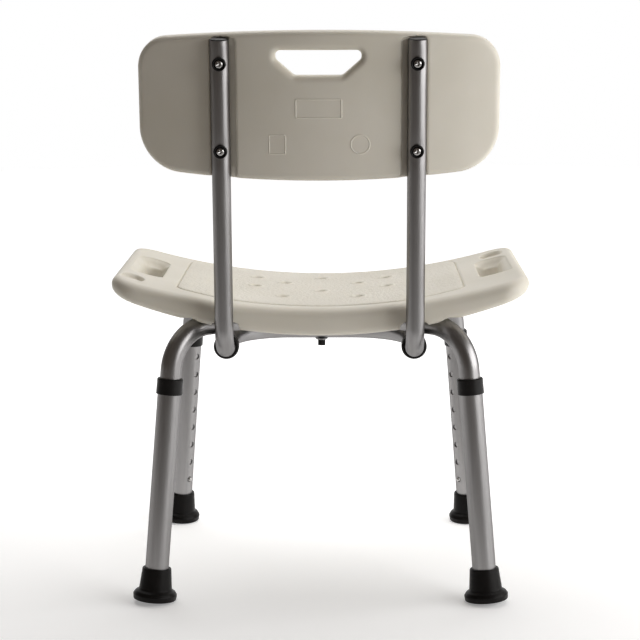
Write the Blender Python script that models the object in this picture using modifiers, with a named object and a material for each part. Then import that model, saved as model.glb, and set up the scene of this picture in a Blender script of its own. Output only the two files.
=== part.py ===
"""Shower chair with a removable backrest, built as separate pieces.

Metres, +Z up, the floor at z = 0. The sitter faces -Y, so the backrest is on the +Y side.
Each leg stands in an upright plane through the chair's middle; places along a leg are given as
s, the distance up the leg's axis from the floor.
"""

import math

import bmesh
import bpy
from mathutils import Matrix, Vector

MM = 0.001
GAP = 0.3 * MM               # clearance between pieces that rest on each other
RING_GAP = 0.5 * MM          # the same round a tube, where both pieces are many-sided
TUBE_SIDES = 12

# Legs
FOOT_X = 203.0 * MM          # foot centres on the floor
FOOT_Y = 180.0 * MM
LEG_LEAN = math.radians(6.19)
FRAME_OD = 25.4 * MM
LEG_OD = 28.6 * MM
TUBE_WALL = 1.2 * MM
OVERRUN = 2.0 * MM           # how far a bore's cutter runs past the tube's ends
WALL_CUT_FROM = 6.0 * MM     # a button hole's cutter, measured out from the tube's axis
CUT_REACH = 20.0 * MM
BACK_CUT_REACH = 15.0 * MM
SCREW_HOLE_R = 3.1 * MM
BOLT_HOLE_R = 3.4 * MM
FRAME_Z = 333.0 * MM         # axis height of the crossing frame tubes
FRAME_BEND = 55.0 * MM
FRAME_END_S = 44.0 * MM      # the frame tube's lower end, inside the leg
LEG_BOTTOM_S = 8.8 * MM
LEG_TOP_S = 272.0 * MM
HOLE_PITCH = 25.4 * MM
HOLE_COUNT = 8
FIRST_HOLE_S = 64.0 * MM
LEG_HOLE_R = 3.7 * MM
FRAME_HOLE_R = 3.5 * MM
CROSS_SHIFT = 6.35 * MM      # how far each flattened crossing moves off the tube's axis
CROSS_SQUASH = 0.46          # what is left of the tube's height there
CROSS_FLAT = 20.0 * MM
CROSS_BLEND = 62.0 * MM

# Leg collars and the bushes in the receiver's mouths
COLLAR_OD = 32.4 * MM
COLLAR_BOTTOM_S = 256.5 * MM
COLLAR_TOP_S = 276.0 * MM
BUSH_OD = 31.0 * MM
BUSH_LENGTH = 14.0 * MM
LIP = 2.6 * MM

# Feet
FOOT_BASE_R = 27.0 * MM
FOOT_BASE_H = 12.5 * MM
FOOT_CUFF_TOP_S = 42.0 * MM

# Receiver and back tubes
RECEIVER_Z = 307.0 * MM
RECEIVER_OD = 25.4 * MM
RECEIVER_WALL = 1.0 * MM
RECEIVER_BEND = 75.0 * MM
BACK_X = 114.7 * MM
BACK_OD = 22.2 * MM
BACK_LEAN = math.radians(4.5)
BACK_CORNER_Y = 163.0 * MM   # where the back tube's two straight axes meet
BACK_BEND = 33.0 * MM
BACK_TOP_Z = 680.0 * MM
BUSH_FACE_Y = 131.0 * MM
RECEIVER_END_Y = BUSH_FACE_Y - LIP - GAP
STUB_LENGTH = 52.0 * MM      # how deep the back tube stands in the receiver
BACK_BUTTON_Y = 104.0 * MM
SCREW_DROPS = (26.8 * MM, 128.8 * MM)

# Snap buttons
BUTTON_R = 3.2 * MM
BUTTON_PROUD = 2.7 * MM
BUTTON_FLANGE_R = 4.4 * MM
BUTTON_FLANGE = 1.0 * MM
CLIP_WIDTH = 8.0 * MM
CLIP_STRIP = 0.6 * MM

# Seat shell
SEAT_HALF_X = 254.5 * MM
SEAT_HALF_Y = 152.0 * MM
SEAT_CORNER = 34.0 * MM
SEAT_TOP_Z = 357.0 * MM
SEAT_TOP_R = 834.0 * MM
SEAT_UNDER_Z = 323.5 * MM
SEAT_UNDER_R = 670.0 * MM
SEAT_WALL = 3.0 * MM
SEAT_EDGE = 9.0 * MM
FRAME_TUNNEL_HALF = 16.8 * MM
FRAME_TUNNEL_ROOF = FRAME_OD / 2 + 1.0 * MM
FRAME_TUNNEL_REACH = 215.0 * MM
TUNNEL_SHOULDER = 8.0 * MM
NOTCH_TOP_Z = 341.5 * MM     # notches in the rear edge over the receiver's mouths
GRIP_X = 216.0 * MM          # middle of each hand hole
GRIP_HALF_X = 15.0 * MM
GRIP_HALF_Y = 56.0 * MM
DRAIN_R = 5.0 * MM
DRAIN_COLUMNS = (
    (0.0, (-87.0 * MM, 17.0 * MM)),
    (47.0 * MM, (-40.0 * MM, 66.0 * MM)),
    (84.0 * MM, (-69.0 * MM, 0.0)),
)
SEAT_SCREW_OUT = 95.0 * MM   # seat screws, measured out along the frame tubes
GRIP_CORNER = 11.0 * MM
NOTCH_MIDDLE_Y = 128.0 * MM
NOTCH_LENGTH = 60.0 * MM
BOLT_CLEAR_R = 11.0 * MM     # room in the seat over the centre bolt's head
BOLT_CLEAR_TOP = 349.5 * MM
SCREW_POST_R = 8.0 * MM
DRAIN_WALL = 2.5 * MM
SEAT_LOW = 300.0 * MM        # cutters through the seat run from below it to above it
SEAT_HIGH = 400.0 * MM
GRIP_LEVEL = 370.0 * MM

# Backrest shell, in its own upright frame: x across, z up the tubes, y rearward from the tube axes
REST_HALF_X = 213.7 * MM
REST_TOP = 691.7 * MM
REST_BOTTOM = 516.5 * MM
REST_TOP_BOW = 1840.0 * MM
REST_BOTTOM_BOW = 2250.0 * MM
REST_TOP_CORNER = 38.0 * MM
REST_BOTTOM_CORNER = 52.0 * MM
REST_CURVE = 560.0 * MM      # radius of the rear face in plan
REST_THICK = 22.0 * MM
REST_WALL = 2.6 * MM
REST_EDGE = 6.0 * MM
REST_REAR_Y = 8.7 * MM       # rear face at the middle, behind the tube axes
CHANNEL_HALF = 17.5 * MM
GRIP_TOP_HALF = 50.0 * MM
GRIP_LOW_HALF = 28.0 * MM
GRIP_TOP_Z = 669.1 * MM
GRIP_LOW_Z = 639.7 * MM

LEGS = {
    "rear_left": (1, 1),
    "rear_right": (-1, 1),
    "front_left": (1, -1),
    "front_right": (-1, -1),
}
SIDES = {"left": 1, "right": -1}

LEG_AZIMUTH = math.atan2(FOOT_Y, FOOT_X)
FOOT_REACH = math.hypot(FOOT_X, FOOT_Y)
CORNER_REACH = FOOT_REACH - FRAME_Z * math.tan(LEG_LEAN)
BACK_UP = Vector((0, math.sin(BACK_LEAN), math.cos(BACK_LEAN)))
REST_TILT = (
    Matrix.Translation((0, BACK_CORNER_Y, RECEIVER_Z))
    @ Matrix.Rotation(-BACK_LEAN, 4, "X")
    @ Matrix.Translation((0, 0, -RECEIVER_Z))
)

COLOURS = {
    "shell": ((0.78, 0.74, 0.65), 0.45, 0.0),
    "anodised": ((0.62, 0.62, 0.63), 0.35, 1.0),
    "chrome": ((0.80, 0.80, 0.82), 0.12, 1.0),
    "steel": ((0.55, 0.56, 0.58), 0.35, 1.0),
    "black_plastic": ((0.02, 0.02, 0.022), 0.45, 0.0),
    "rubber": ((0.015, 0.014, 0.014), 0.75, 0.0),
}


# ---- scene, materials and small helpers -------------------------------------------------------

def clear_scene():
    for obj in list(bpy.data.objects):
        bpy.data.objects.remove(obj, do_unlink=True)


def make_material(name):
    colour, roughness, metallic = COLOURS[name]
    mat = bpy.data.materials.new(name)
    mat.use_nodes = True
    shader = mat.node_tree.nodes["Principled BSDF"]
    shader.inputs["Base Color"].default_value = (*colour, 1.0)
    shader.inputs["Roughness"].default_value = roughness
    shader.inputs["Metallic"].default_value = metallic
    return mat


def make_collection(name):
    col = bpy.data.collections.new(name)
    bpy.context.scene.collection.children.link(col)
    return col


def add_part(name, mesh, material, matrix=None):
    """A sub-part with its own copy of a material."""
    obj = bpy.data.objects.new(name, mesh)
    PARTS.objects.link(obj)
    mat = make_material(material)
    mat.name = f"{name}_{material}"
    mesh.materials.clear()
    mesh.materials.append(mat)
    if matrix is not None:
        obj.matrix_world = matrix
    return obj


def add_cutter(name, mesh, matrix=None):
    obj = bpy.data.objects.new(name, mesh)
    CUTTERS.objects.link(obj)
    obj.hide_render = True
    obj.display_type = "WIRE"
    if matrix is not None:
        obj.matrix_world = matrix
    return obj


def boolean(obj, cutter, operation="DIFFERENCE"):
    mod = obj.modifiers.new(cutter.name, "BOOLEAN")
    mod.operation = operation
    mod.solver = "EXACT"
    mod.object = cutter
    return mod


def use_manifold_solver(obj):
    """Slanted faces that the exact solver leaves open are cut closed by this one."""
    for mod in obj.modifiers:
        if mod.type == "BOOLEAN" and mod.operation == "DIFFERENCE":
            mod.solver = "MANIFOLD"


def chamfer(obj, width, segments):
    mod = obj.modifiers.new("edge", "BEVEL")
    mod.width = width
    mod.segments = segments
    mod.limit_method = "ANGLE"
    mod.angle_limit = math.radians(50)


def split_faces(obj):
    """Cut slanted many-sided faces into triangles, so that later Booleans meet only flat faces."""
    obj.modifiers.new("facets", "TRIANGULATE")


def smooth(mesh, angle=40):
    mesh.shade_smooth()
    mesh.set_sharp_from_angle(angle=math.radians(angle))
    return mesh


def evaluated_mesh(obj):
    graph = bpy.context.evaluated_depsgraph_get()
    return bpy.data.meshes.new_from_object(obj.evaluated_get(graph), depsgraph=graph)


def weld(mesh):
    bm = bmesh.new()
    bm.from_mesh(mesh)
    bmesh.ops.remove_doubles(bm, verts=bm.verts, dist=0.01 * MM)
    bmesh.ops.recalc_face_normals(bm, faces=bm.faces)
    bm.to_mesh(mesh)
    bm.free()
    return mesh


def rod_mesh(points, radius):
    """A round rod along a chain of points, with flat ends."""
    curve = bpy.data.curves.new("route", "CURVE")
    curve.dimensions = "3D"
    curve.bevel_depth = radius
    curve.bevel_resolution = TUBE_SIDES // 2 - 2
    curve.use_fill_caps = True
    spline = curve.splines.new("POLY")
    spline.points.add(len(points) - 1)
    for point, place in zip(spline.points, points):
        point.co = (*place, 1.0)
    holder = bpy.data.objects.new("route", curve)
    CUTTERS.objects.link(holder)
    mesh = evaluated_mesh(holder)
    bpy.data.objects.remove(holder, do_unlink=True)
    return weld(mesh)


def plate_mesh(outline, thickness):
    """A flat outline in its own x, y, with its thickness centred on z = 0."""
    curve = bpy.data.curves.new("outline", "CURVE")
    curve.dimensions = "2D"
    curve.fill_mode = "BOTH"
    curve.extrude = thickness / 2
    spline = curve.splines.new("POLY")
    spline.points.add(len(outline) - 1)
    for point, (x, y) in zip(spline.points, outline):
        point.co = (x, y, 0.0, 1.0)
    spline.use_cyclic_u = True
    holder = bpy.data.objects.new("outline", curve)
    CUTTERS.objects.link(holder)
    mesh = evaluated_mesh(holder)
    bpy.data.objects.remove(holder, do_unlink=True)
    return weld(mesh)


def turned_mesh(profile, steps=24):
    """A closed (radius, height) profile turned about z."""
    mesh = bpy.data.meshes.new("profile")
    verts = [(r, 0.0, z) for r, z in profile]
    edges = [(i, i + 1) for i in range(len(verts) - 1)]
    if profile[0][0] > 0:
        edges.append((len(verts) - 1, 0))
    mesh.from_pydata(verts, edges, [])
    holder = bpy.data.objects.new("profile", mesh)
    CUTTERS.objects.link(holder)
    mod = holder.modifiers.new("turn", "SCREW")
    mod.steps = steps
    mod.render_steps = steps
    mod.use_merge_vertices = True
    mod.merge_threshold = 0.00001
    turned = evaluated_mesh(holder)
    bpy.data.objects.remove(holder, do_unlink=True)
    return smooth(weld(turned))


def cylinder_mesh(radius, low, high, sides=16):
    mesh = bpy.data.meshes.new("cylinder")
    bm = bmesh.new()
    bmesh.ops.create_cone(
        bm, cap_ends=True, segments=sides, radius1=radius, radius2=radius, depth=high - low,
        matrix=Matrix.Translation((0, 0, (low + high) / 2)),
    )
    bm.to_mesh(mesh)
    bm.free()
    return mesh


def arc_points(centre, radius, start, end, steps):
    """Points on an arc in a plane, angles in radians."""
    return [
        (
            centre[0] + radius * math.cos(start + (end - start) * i / steps),
            centre[1] + radius * math.sin(start + (end - start) * i / steps),
        )
        for i in range(steps + 1)
    ]


def fillet(before, corner, after, radius, steps):
    """The rounded corner of a path through three points."""
    into = (corner - before).normalized()
    out = (after - corner).normalized()
    turn = into.angle(out)
    reach = radius * math.tan(turn / 2)
    start = corner - into * reach
    normal = (out - into * out.dot(into)).normalized()
    return [
        start + into * radius * math.sin(turn * i / steps)
        + normal * radius * (1 - math.cos(turn * i / steps))
        for i in range(steps + 1)
    ]


def facing(origin, direction):
    """A frame at a point whose +z looks along a direction."""
    spin = Vector(direction).normalized().to_track_quat("Z", "Y").to_matrix().to_4x4()
    return Matrix.Translation(origin) @ spin


# ---- places on the legs -----------------------------------------------------------------------

def leg_outward(signs):
    return Vector((signs[0] * math.cos(LEG_AZIMUTH), signs[1] * math.sin(LEG_AZIMUTH), 0))


def leg_up(signs):
    return (Vector((0, 0, math.cos(LEG_LEAN))) - leg_outward(signs) * math.sin(LEG_LEAN))


def leg_point(signs, s):
    return leg_outward(signs) * FOOT_REACH + leg_up(signs) * s


def leg_inward(signs):
    """Square to the leg's axis, towards the middle of the chair."""
    return -(leg_outward(signs) * math.cos(LEG_LEAN) + Vector((0, 0, math.sin(LEG_LEAN))))


def leg_frame_matrix(signs, s=0.0):
    """Origin on the leg's axis, +z up the leg, +x towards the middle of the chair."""
    z = leg_up(signs)
    x = leg_inward(signs)
    y = z.cross(x)
    spin = Matrix((x, y, z)).transposed().to_4x4()
    return Matrix.Translation(leg_point(signs, s)) @ spin


# ---- frame tubes ------------------------------------------------------------------------------

def frame_route(signs, end_s):
    """From one leg, over the middle, to the leg across it."""
    far = (-signs[0], -signs[1])
    out = leg_outward(signs)
    level = Vector((0, 0, FRAME_Z))
    corner = out * CORNER_REACH + level
    opposite = -out * CORNER_REACH + level
    start = leg_point(signs, end_s)
    finish = leg_point(far, end_s)
    stations = (62, 48, 34, 20, -20, -34, -48, -62)
    middle = [out * (d * MM) + level for d in stations]
    return (
        [start]
        + fillet(start, corner, level, FRAME_BEND, 5)
        + middle
        + fillet(level, opposite, finish, FRAME_BEND, 5)
        + [finish]
    )


def flatten_crossing(mesh, along, shift, keep_wall):
    """Press the tube flat around the middle of the chair; keep_wall holds its wall thickness."""
    across = Vector((0, 0, 1)).cross(along)
    for vert in mesh.vertices:
        reach = abs(vert.co.dot(along))
        if vert.co.z < FRAME_Z - FRAME_OD or reach > CROSS_BLEND:
            continue
        blend = min(max((CROSS_BLEND - reach) / (CROSS_BLEND - CROSS_FLAT), 0.0), 1.0)
        blend = blend * blend * (3 - 2 * blend)
        squash = 1 - (1 - CROSS_SQUASH) * blend
        if keep_wall:
            half = FRAME_OD / 2
            squash = (half * squash - TUBE_WALL) / (half - TUBE_WALL)
        height = vert.co.z - FRAME_Z
        vert.co.z = FRAME_Z + height * squash + shift * blend
        vert.co += across * vert.co.dot(across) * 0.22 * blend


def build_frame_tube(name, signs, shift):
    along = leg_outward(signs)
    outer = rod_mesh(frame_route(signs, FRAME_END_S), FRAME_OD / 2)
    flatten_crossing(outer, along, shift, False)
    tube = add_part(name, smooth(outer), "anodised")
    bore = rod_mesh(frame_route(signs, FRAME_END_S - OVERRUN), FRAME_OD / 2 - TUBE_WALL)
    flatten_crossing(bore, along, shift, True)
    boolean(tube, add_cutter(f"{name}_bore", bore))
    split_faces(tube)
    for end in (signs, (-signs[0], -signs[1])):
        hole = cylinder_mesh(FRAME_HOLE_R, WALL_CUT_FROM, CUT_REACH, 8)
        place = facing(leg_point(end, FIRST_HOLE_S), leg_inward(end))
        boolean(tube, add_cutter(f"{name}_button_hole", hole, place))
        out = leg_outward(end) * SEAT_SCREW_OUT
        hole = cylinder_mesh(SCREW_HOLE_R, FRAME_Z - CUT_REACH, FRAME_Z + CUT_REACH, 8)
        boolean(tube, add_cutter(f"{name}_screw_hole", hole, Matrix.Translation(out)))
    hole = cylinder_mesh(BOLT_HOLE_R, FRAME_Z - CUT_REACH, FRAME_Z + CUT_REACH, 8)
    boolean(tube, add_cutter(f"{name}_bolt_hole", hole))
    use_manifold_solver(tube)
    return tube


# ---- legs -------------------------------------------------------------------------------------

def build_leg(name, signs):
    low = LEG_BOTTOM_S
    mesh = cylinder_mesh(LEG_OD / 2, low, LEG_TOP_S, 16)
    leg = add_part(f"leg_{name}", smooth(mesh), "anodised", leg_frame_matrix(signs))
    bore = cylinder_mesh(LEG_OD / 2 - TUBE_WALL, low - OVERRUN, LEG_TOP_S + OVERRUN, 16)
    boolean(leg, add_cutter(f"leg_{name}_bore", bore, leg_frame_matrix(signs)))
    for k in range(HOLE_COUNT):
        s = FIRST_HOLE_S + k * HOLE_PITCH
        hole = cylinder_mesh(LEG_HOLE_R, WALL_CUT_FROM, CUT_REACH, 8)
        place = facing(leg_point(signs, s), leg_inward(signs))
        boolean(leg, add_cutter(f"leg_{name}_hole_{k}", hole, place))
    return leg


def collar_profile(inner_r, tube_r, outer_r, length):
    """A skirt round a tube's end with a lip over it; the mouth is at the top, at z = 0."""
    skirt_r = tube_r + RING_GAP
    edge = 1.2 * MM
    return [
        (outer_r - edge, 0),
        (outer_r, -edge),
        (outer_r, -length),
        (skirt_r, -length),
        (skirt_r, -LIP),
        (inner_r, -LIP),
        (inner_r, 0),
    ]


def build_collar(name, signs):
    profile = collar_profile(
        FRAME_OD / 2 + RING_GAP, LEG_OD / 2, COLLAR_OD / 2, COLLAR_TOP_S - COLLAR_BOTTOM_S
    )
    place = leg_frame_matrix(signs, COLLAR_TOP_S)
    return add_part(f"collar_{name}", turned_mesh(profile, 14), "black_plastic", place)


def lean_rings(mesh):
    """Stand a turned foot on the floor: level at its base, square to the leg in its socket."""
    socket_r = LEG_OD / 2 + RING_GAP + 0.1 * MM
    for vert in mesh.vertices:
        x, y, s = vert.co
        in_socket = s > 0 and math.hypot(x, y) < socket_r
        lean = LEG_LEAN if in_socket else LEG_LEAN * min(s / FOOT_BASE_H, 1.0)
        vert.co = Vector((
            x * math.cos(lean) + s * math.sin(LEG_LEAN),
            y,
            s * math.cos(LEG_LEAN) - x * math.sin(lean),
        ))


def foot_profile():
    top = FOOT_CUFF_TOP_S
    base = FOOT_BASE_R
    bore_r = LEG_OD / 2 + RING_GAP
    floor = LEG_BOTTOM_S - 2.1 * MM
    return [
        (bore_r, top),
        (bore_r + 3.0 * MM, top),
        (bore_r + 5.6 * MM, FOOT_BASE_H + 1.0 * MM),
        (base - 2.0 * MM, FOOT_BASE_H),
        (base, FOOT_BASE_H - 3.0 * MM),
        (base, 0.0),
        (0.0, 0.0),
        (0.0, floor),
        (bore_r, floor),
    ]


def foot_matrix(signs):
    """Origin on the floor, +z up, +x towards the middle of the chair."""
    x = -leg_outward(signs)
    z = Vector((0, 0, 1))
    spin = Matrix((x, z.cross(x), z)).transposed().to_4x4()
    return Matrix.Translation(leg_point(signs, 0)) @ spin


def build_foot(name, signs):
    profile = foot_profile()
    centre = profile.index((0.0, 0.0))
    chain = profile[centre + 1:] + profile[:centre + 1]
    mesh = turned_mesh(chain, 18)
    lean_rings(mesh)
    return add_part(f"foot_{name}", mesh, "rubber", foot_matrix(signs))


def build_foot_washer(name, signs):
    low = LEG_BOTTOM_S - 1.8 * MM
    mesh = smooth(cylinder_mesh(LEG_OD / 2 - GAP, low, low + 1.5 * MM, 16))
    return add_part(f"foot_washer_{name}", mesh, "steel", leg_frame_matrix(signs))


# ---- snap buttons -----------------------------------------------------------------------------

def room_inside(bore_r, half_width):
    """How far from a tube's axis a flat piece of this half width fits in its many-sided bore."""
    return math.sqrt(bore_r ** 2 - half_width ** 2) * math.cos(math.pi / TUBE_SIDES) - GAP


def button_profile(tip, bore_r):
    """A riveted pin with a domed tip; heights are measured from the tube's axis."""
    flange = room_inside(bore_r, BUTTON_FLANGE_R)
    root = flange - BUTTON_FLANGE
    dome = [
        (BUTTON_R * math.cos(a), tip - BUTTON_R * 0.8 + BUTTON_R * 0.8 * math.sin(a))
        for a in [math.radians(90 - 30 * i) for i in range(4)]
    ]
    dome[0] = (0.0, tip)
    return dome + [
        (BUTTON_R, flange), (BUTTON_FLANGE_R, flange), (BUTTON_FLANGE_R, root), (0.0, root)
    ]


def build_button(name, origin, direction, outer_r, bore_r):
    profile = button_profile(outer_r + BUTTON_PROUD, bore_r)
    return add_part(name, turned_mesh(profile, 10), "chrome", facing(origin, direction))


def clip_outline(bore_r):
    """A V of spring strip: one arm along the button's wall, one along the wall across it."""
    near = room_inside(bore_r, BUTTON_FLANGE_R) - BUTTON_FLANGE - GAP
    far = room_inside(bore_r, CLIP_WIDTH / 2)
    near_end = 12 * MM
    tip = 44 * MM
    middle = [(near, -near_end), (near, near_end), (0.5 * MM, tip), (-far, near_end - 6 * MM)]
    t = CLIP_STRIP
    inner = [
        (near - t, -near_end), (near - t, near_end - 0.1 * MM), (0.45 * MM, tip - 4 * MM),
        (-far + t, near_end - 6 * MM),
    ]
    return middle + inner[::-1]


def build_clip(name, origin, toward_button, along, bore_r):
    """The clip lies in the plane of the tube's axis and its button."""
    mesh = plate_mesh(clip_outline(bore_r), CLIP_WIDTH)
    x = Vector(toward_button).normalized()
    y = Vector(along).normalized()
    spin = Matrix((x, y, x.cross(y))).transposed().to_4x4()
    return add_part(name, mesh, "steel", Matrix.Translation(origin) @ spin)


def build_leg_button(name, signs):
    origin = leg_point(signs, FIRST_HOLE_S)
    bore_r = FRAME_OD / 2 - TUBE_WALL
    build_button(f"leg_button_{name}", origin, leg_inward(signs), LEG_OD / 2, bore_r)
    build_clip(f"leg_clip_{name}", origin, leg_inward(signs), leg_up(signs), bore_r)


# ---- receiver and back tubes ------------------------------------------------------------------

def receiver_route(end_y):
    z = RECEIVER_Z
    right = Vector((-BACK_X, end_y, z))
    left = Vector((BACK_X, end_y, z))
    middle = Vector((0, 0, z))
    corners = Vector((-BACK_X, 0, z)), Vector((BACK_X, 0, z))
    return (
        [right]
        + fillet(right, corners[0], middle, RECEIVER_BEND, 6)
        + fillet(middle, corners[1], left, RECEIVER_BEND, 6)
        + [left]
    )


def build_receiver():
    tube = add_part(
        "back_receiver", smooth(rod_mesh(receiver_route(RECEIVER_END_Y), RECEIVER_OD / 2)), "anodised"
    )
    bore = rod_mesh(receiver_route(RECEIVER_END_Y + OVERRUN), RECEIVER_OD / 2 - RECEIVER_WALL)
    boolean(tube, add_cutter("receiver_bore", bore))
    hole = cylinder_mesh(BOLT_HOLE_R, RECEIVER_Z - CUT_REACH, RECEIVER_Z + CUT_REACH, 8)
    boolean(tube, add_cutter("receiver_bolt_hole", hole))
    for side, sign in SIDES.items():
        place = facing((sign * BACK_X, BACK_BUTTON_Y, RECEIVER_Z), (0, 0, -1))
        hole = cylinder_mesh(LEG_HOLE_R, WALL_CUT_FROM, CUT_REACH, 8)
        boolean(tube, add_cutter(f"receiver_button_hole_{side}", hole, place))
        profile = collar_profile(
            BACK_OD / 2 + RING_GAP, RECEIVER_OD / 2, BUSH_OD / 2, BUSH_LENGTH
        )
        mouth = facing((sign * BACK_X, BUSH_FACE_Y, RECEIVER_Z), (0, 1, 0))
        add_part(f"receiver_bush_{side}", turned_mesh(profile, 14), "black_plastic", mouth)


def back_route(sign, inner_end, top):
    start = Vector((sign * BACK_X, inner_end, RECEIVER_Z))
    corner = Vector((sign * BACK_X, BACK_CORNER_Y, RECEIVER_Z))
    finish = corner + BACK_UP * top
    return [start] + fillet(start, corner, finish, BACK_BEND, 6) + [finish]


def back_top():
    return (BACK_TOP_Z - RECEIVER_Z) / math.cos(BACK_LEAN)


def back_point(sign, drop):
    """On a back tube's axis, a distance below its top."""
    corner = Vector((sign * BACK_X, BACK_CORNER_Y, RECEIVER_Z))
    return corner + BACK_UP * (back_top() - drop)


def rearward():
    return Vector((0, math.cos(BACK_LEAN), -math.sin(BACK_LEAN)))


def build_back_tube(side, sign):
    inner_end = BUSH_FACE_Y - STUB_LENGTH
    outer = smooth(rod_mesh(back_route(sign, inner_end, back_top()), BACK_OD / 2))
    tube = add_part(f"back_tube_{side}", outer, "anodised")
    bore = rod_mesh(
        back_route(sign, inner_end - OVERRUN, back_top() + OVERRUN), BACK_OD / 2 - TUBE_WALL
    )
    boolean(tube, add_cutter(f"back_tube_{side}_bore", bore))
    place = facing((sign * BACK_X, BACK_BUTTON_Y, RECEIVER_Z), (0, 0, -1))
    hole = cylinder_mesh(FRAME_HOLE_R, WALL_CUT_FROM, CUT_REACH, 8)
    boolean(tube, add_cutter(f"back_tube_{side}_button_hole", hole, place))
    for n, drop in enumerate(SCREW_DROPS):
        hole = cylinder_mesh(SCREW_HOLE_R, -BACK_CUT_REACH, BACK_CUT_REACH, 8)
        place = facing(back_point(sign, drop), rearward())
        boolean(tube, add_cutter(f"back_tube_{side}_screw_hole_{n}", hole, place))
    return tube


def build_back_button(side, sign):
    origin = Vector((sign * BACK_X, BACK_BUTTON_Y, RECEIVER_Z))
    down = Vector((0, 0, -1))
    bore_r = BACK_OD / 2 - TUBE_WALL
    build_button(f"back_button_{side}", origin, down, RECEIVER_OD / 2, bore_r)
    build_clip(f"back_clip_{side}", origin, down, Vector((0, 1, 0)), bore_r)


def build_tube_cap(side, sign):
    stem_r = (BACK_OD / 2 - TUBE_WALL) * math.cos(math.pi / TUBE_SIDES) - GAP
    head_r = BACK_OD / 2
    profile = [
        (0, 2.0 * MM), (head_r - 0.8 * MM, 2.0 * MM), (head_r, 1.2 * MM), (head_r, GAP),
        (stem_r, GAP), (stem_r, -10 * MM), (0, -10 * MM),
    ]
    place = facing(back_point(sign, 0), BACK_UP)
    add_part(f"back_tube_cap_{side}", turned_mesh(profile, 14), "black_plastic", place)


def build_back_screw(name, sign, drop):
    """A pan-head screw in a cup washer whose underside fits the round tube."""
    place = facing(back_point(sign, drop), rearward())
    seat_n = BACK_OD / 2
    cup = [
        (3.1 * MM, seat_n + 1.0 * MM), (5.6 * MM, seat_n + 1.0 * MM),
        (5.6 * MM, seat_n + 3.4 * MM), (8.2 * MM, seat_n + 3.4 * MM),
        (8.2 * MM, seat_n - 5.0 * MM), (3.1 * MM, seat_n - 5.0 * MM),
    ]
    washer = add_part(f"cup_washer_{name}", turned_mesh(cup, 14), "black_plastic", place)
    body = cylinder_mesh(BACK_OD / 2 + GAP, -12 * MM, 12 * MM, 16)
    lying = facing(back_point(sign, drop), BACK_UP)
    boolean(washer, add_cutter(f"cup_washer_{name}_saddle", body, lying))
    head = seat_n + 1.0 * MM + GAP
    pan = [
        (0, head + 3.1 * MM), (3.0 * MM, head + 2.6 * MM), (4.7 * MM, head + 0.8 * MM),
        (4.7 * MM, head), (2.7 * MM, head), (2.7 * MM, -17.5 * MM), (0, -20.0 * MM),
    ]
    add_part(f"back_screw_{name}", turned_mesh(pan, 12), "chrome", place)


# ---- centre bolt and seat screws --------------------------------------------------------------

def build_centre_bolt():
    top = FRAME_Z + CROSS_SHIFT + CROSS_SQUASH * FRAME_OD / 2 + GAP
    bottom = RECEIVER_Z - RECEIVER_OD / 2
    bolt = [
        (0, top + 3.0 * MM), (3.5 * MM, top + 2.6 * MM), (6.5 * MM, top + 0.8 * MM), (6.5 * MM, top),
        (3.0 * MM, top), (3.0 * MM, bottom - 6.0 * MM), (0, bottom - 6.0 * MM),
    ]
    add_part("centre_bolt", turned_mesh(bolt, 12), "steel")
    ring_top = bottom - GAP
    ring = [
        (3.3 * MM, ring_top), (8.0 * MM, ring_top), (8.0 * MM, ring_top - 1.4 * MM),
        (3.3 * MM, ring_top - 1.4 * MM),
    ]
    add_part("centre_washer", turned_mesh(ring, 14), "steel")
    nut_top = ring_top - 1.4 * MM - GAP
    nut = smooth(cylinder_mesh(5.4 * MM, nut_top - 7.5 * MM, nut_top, 6), 20)
    cap = add_part("centre_cap_nut", nut, "black_plastic")
    bore = cylinder_mesh(3.3 * MM, nut_top - 5.6 * MM, nut_top + 2 * MM, 12)
    boolean(cap, add_cutter("cap_nut_bore", bore))


def build_seat_screw(name, signs):
    place = Matrix.Translation(leg_outward(signs) * SEAT_SCREW_OUT)
    under = FRAME_Z - FRAME_OD / 2 - GAP
    tip = FRAME_Z + FRAME_OD / 2 + 9.0 * MM
    screw = [
        (0, tip), (2.7 * MM, tip - 2.5 * MM), (2.7 * MM, under), (5.2 * MM, under),
        (5.2 * MM, under - 0.8 * MM), (3.9 * MM, under - 2.6 * MM), (0, under - 3.2 * MM),
    ]
    add_part(f"seat_screw_{name}", turned_mesh(screw, 12), "steel", place)


# ---- shells -----------------------------------------------------------------------------------

def rounded_rectangle(half_x, half_y, radius, steps):
    points = []
    for quarter in range(4):
        sx = (1, -1, -1, 1)[quarter]
        sy = (1, 1, -1, -1)[quarter]
        centre = (sx * (half_x - radius), sy * (half_y - radius))
        start = quarter * math.pi / 2
        points += arc_points(centre, radius, start, start + math.pi / 2, steps)
    return points


def arc_height(x, middle, radius):
    return middle + radius - math.sqrt(radius * radius - x * x)


def dished_slab(half_x, top, top_r, under, under_r, steps):
    """The seat's front view: two arcs, one over the other, joined at the ends."""
    xs = [half_x * (2 * i / steps - 1) for i in range(steps + 1)]
    low = [(x, arc_height(x, under, under_r)) for x in xs]
    high = [(x, arc_height(x, top, top_r)) for x in reversed(xs)]
    return low + high


STAND = Matrix.Rotation(math.pi / 2, 4, "X")   # turns an x, y outline up into x, z


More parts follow.
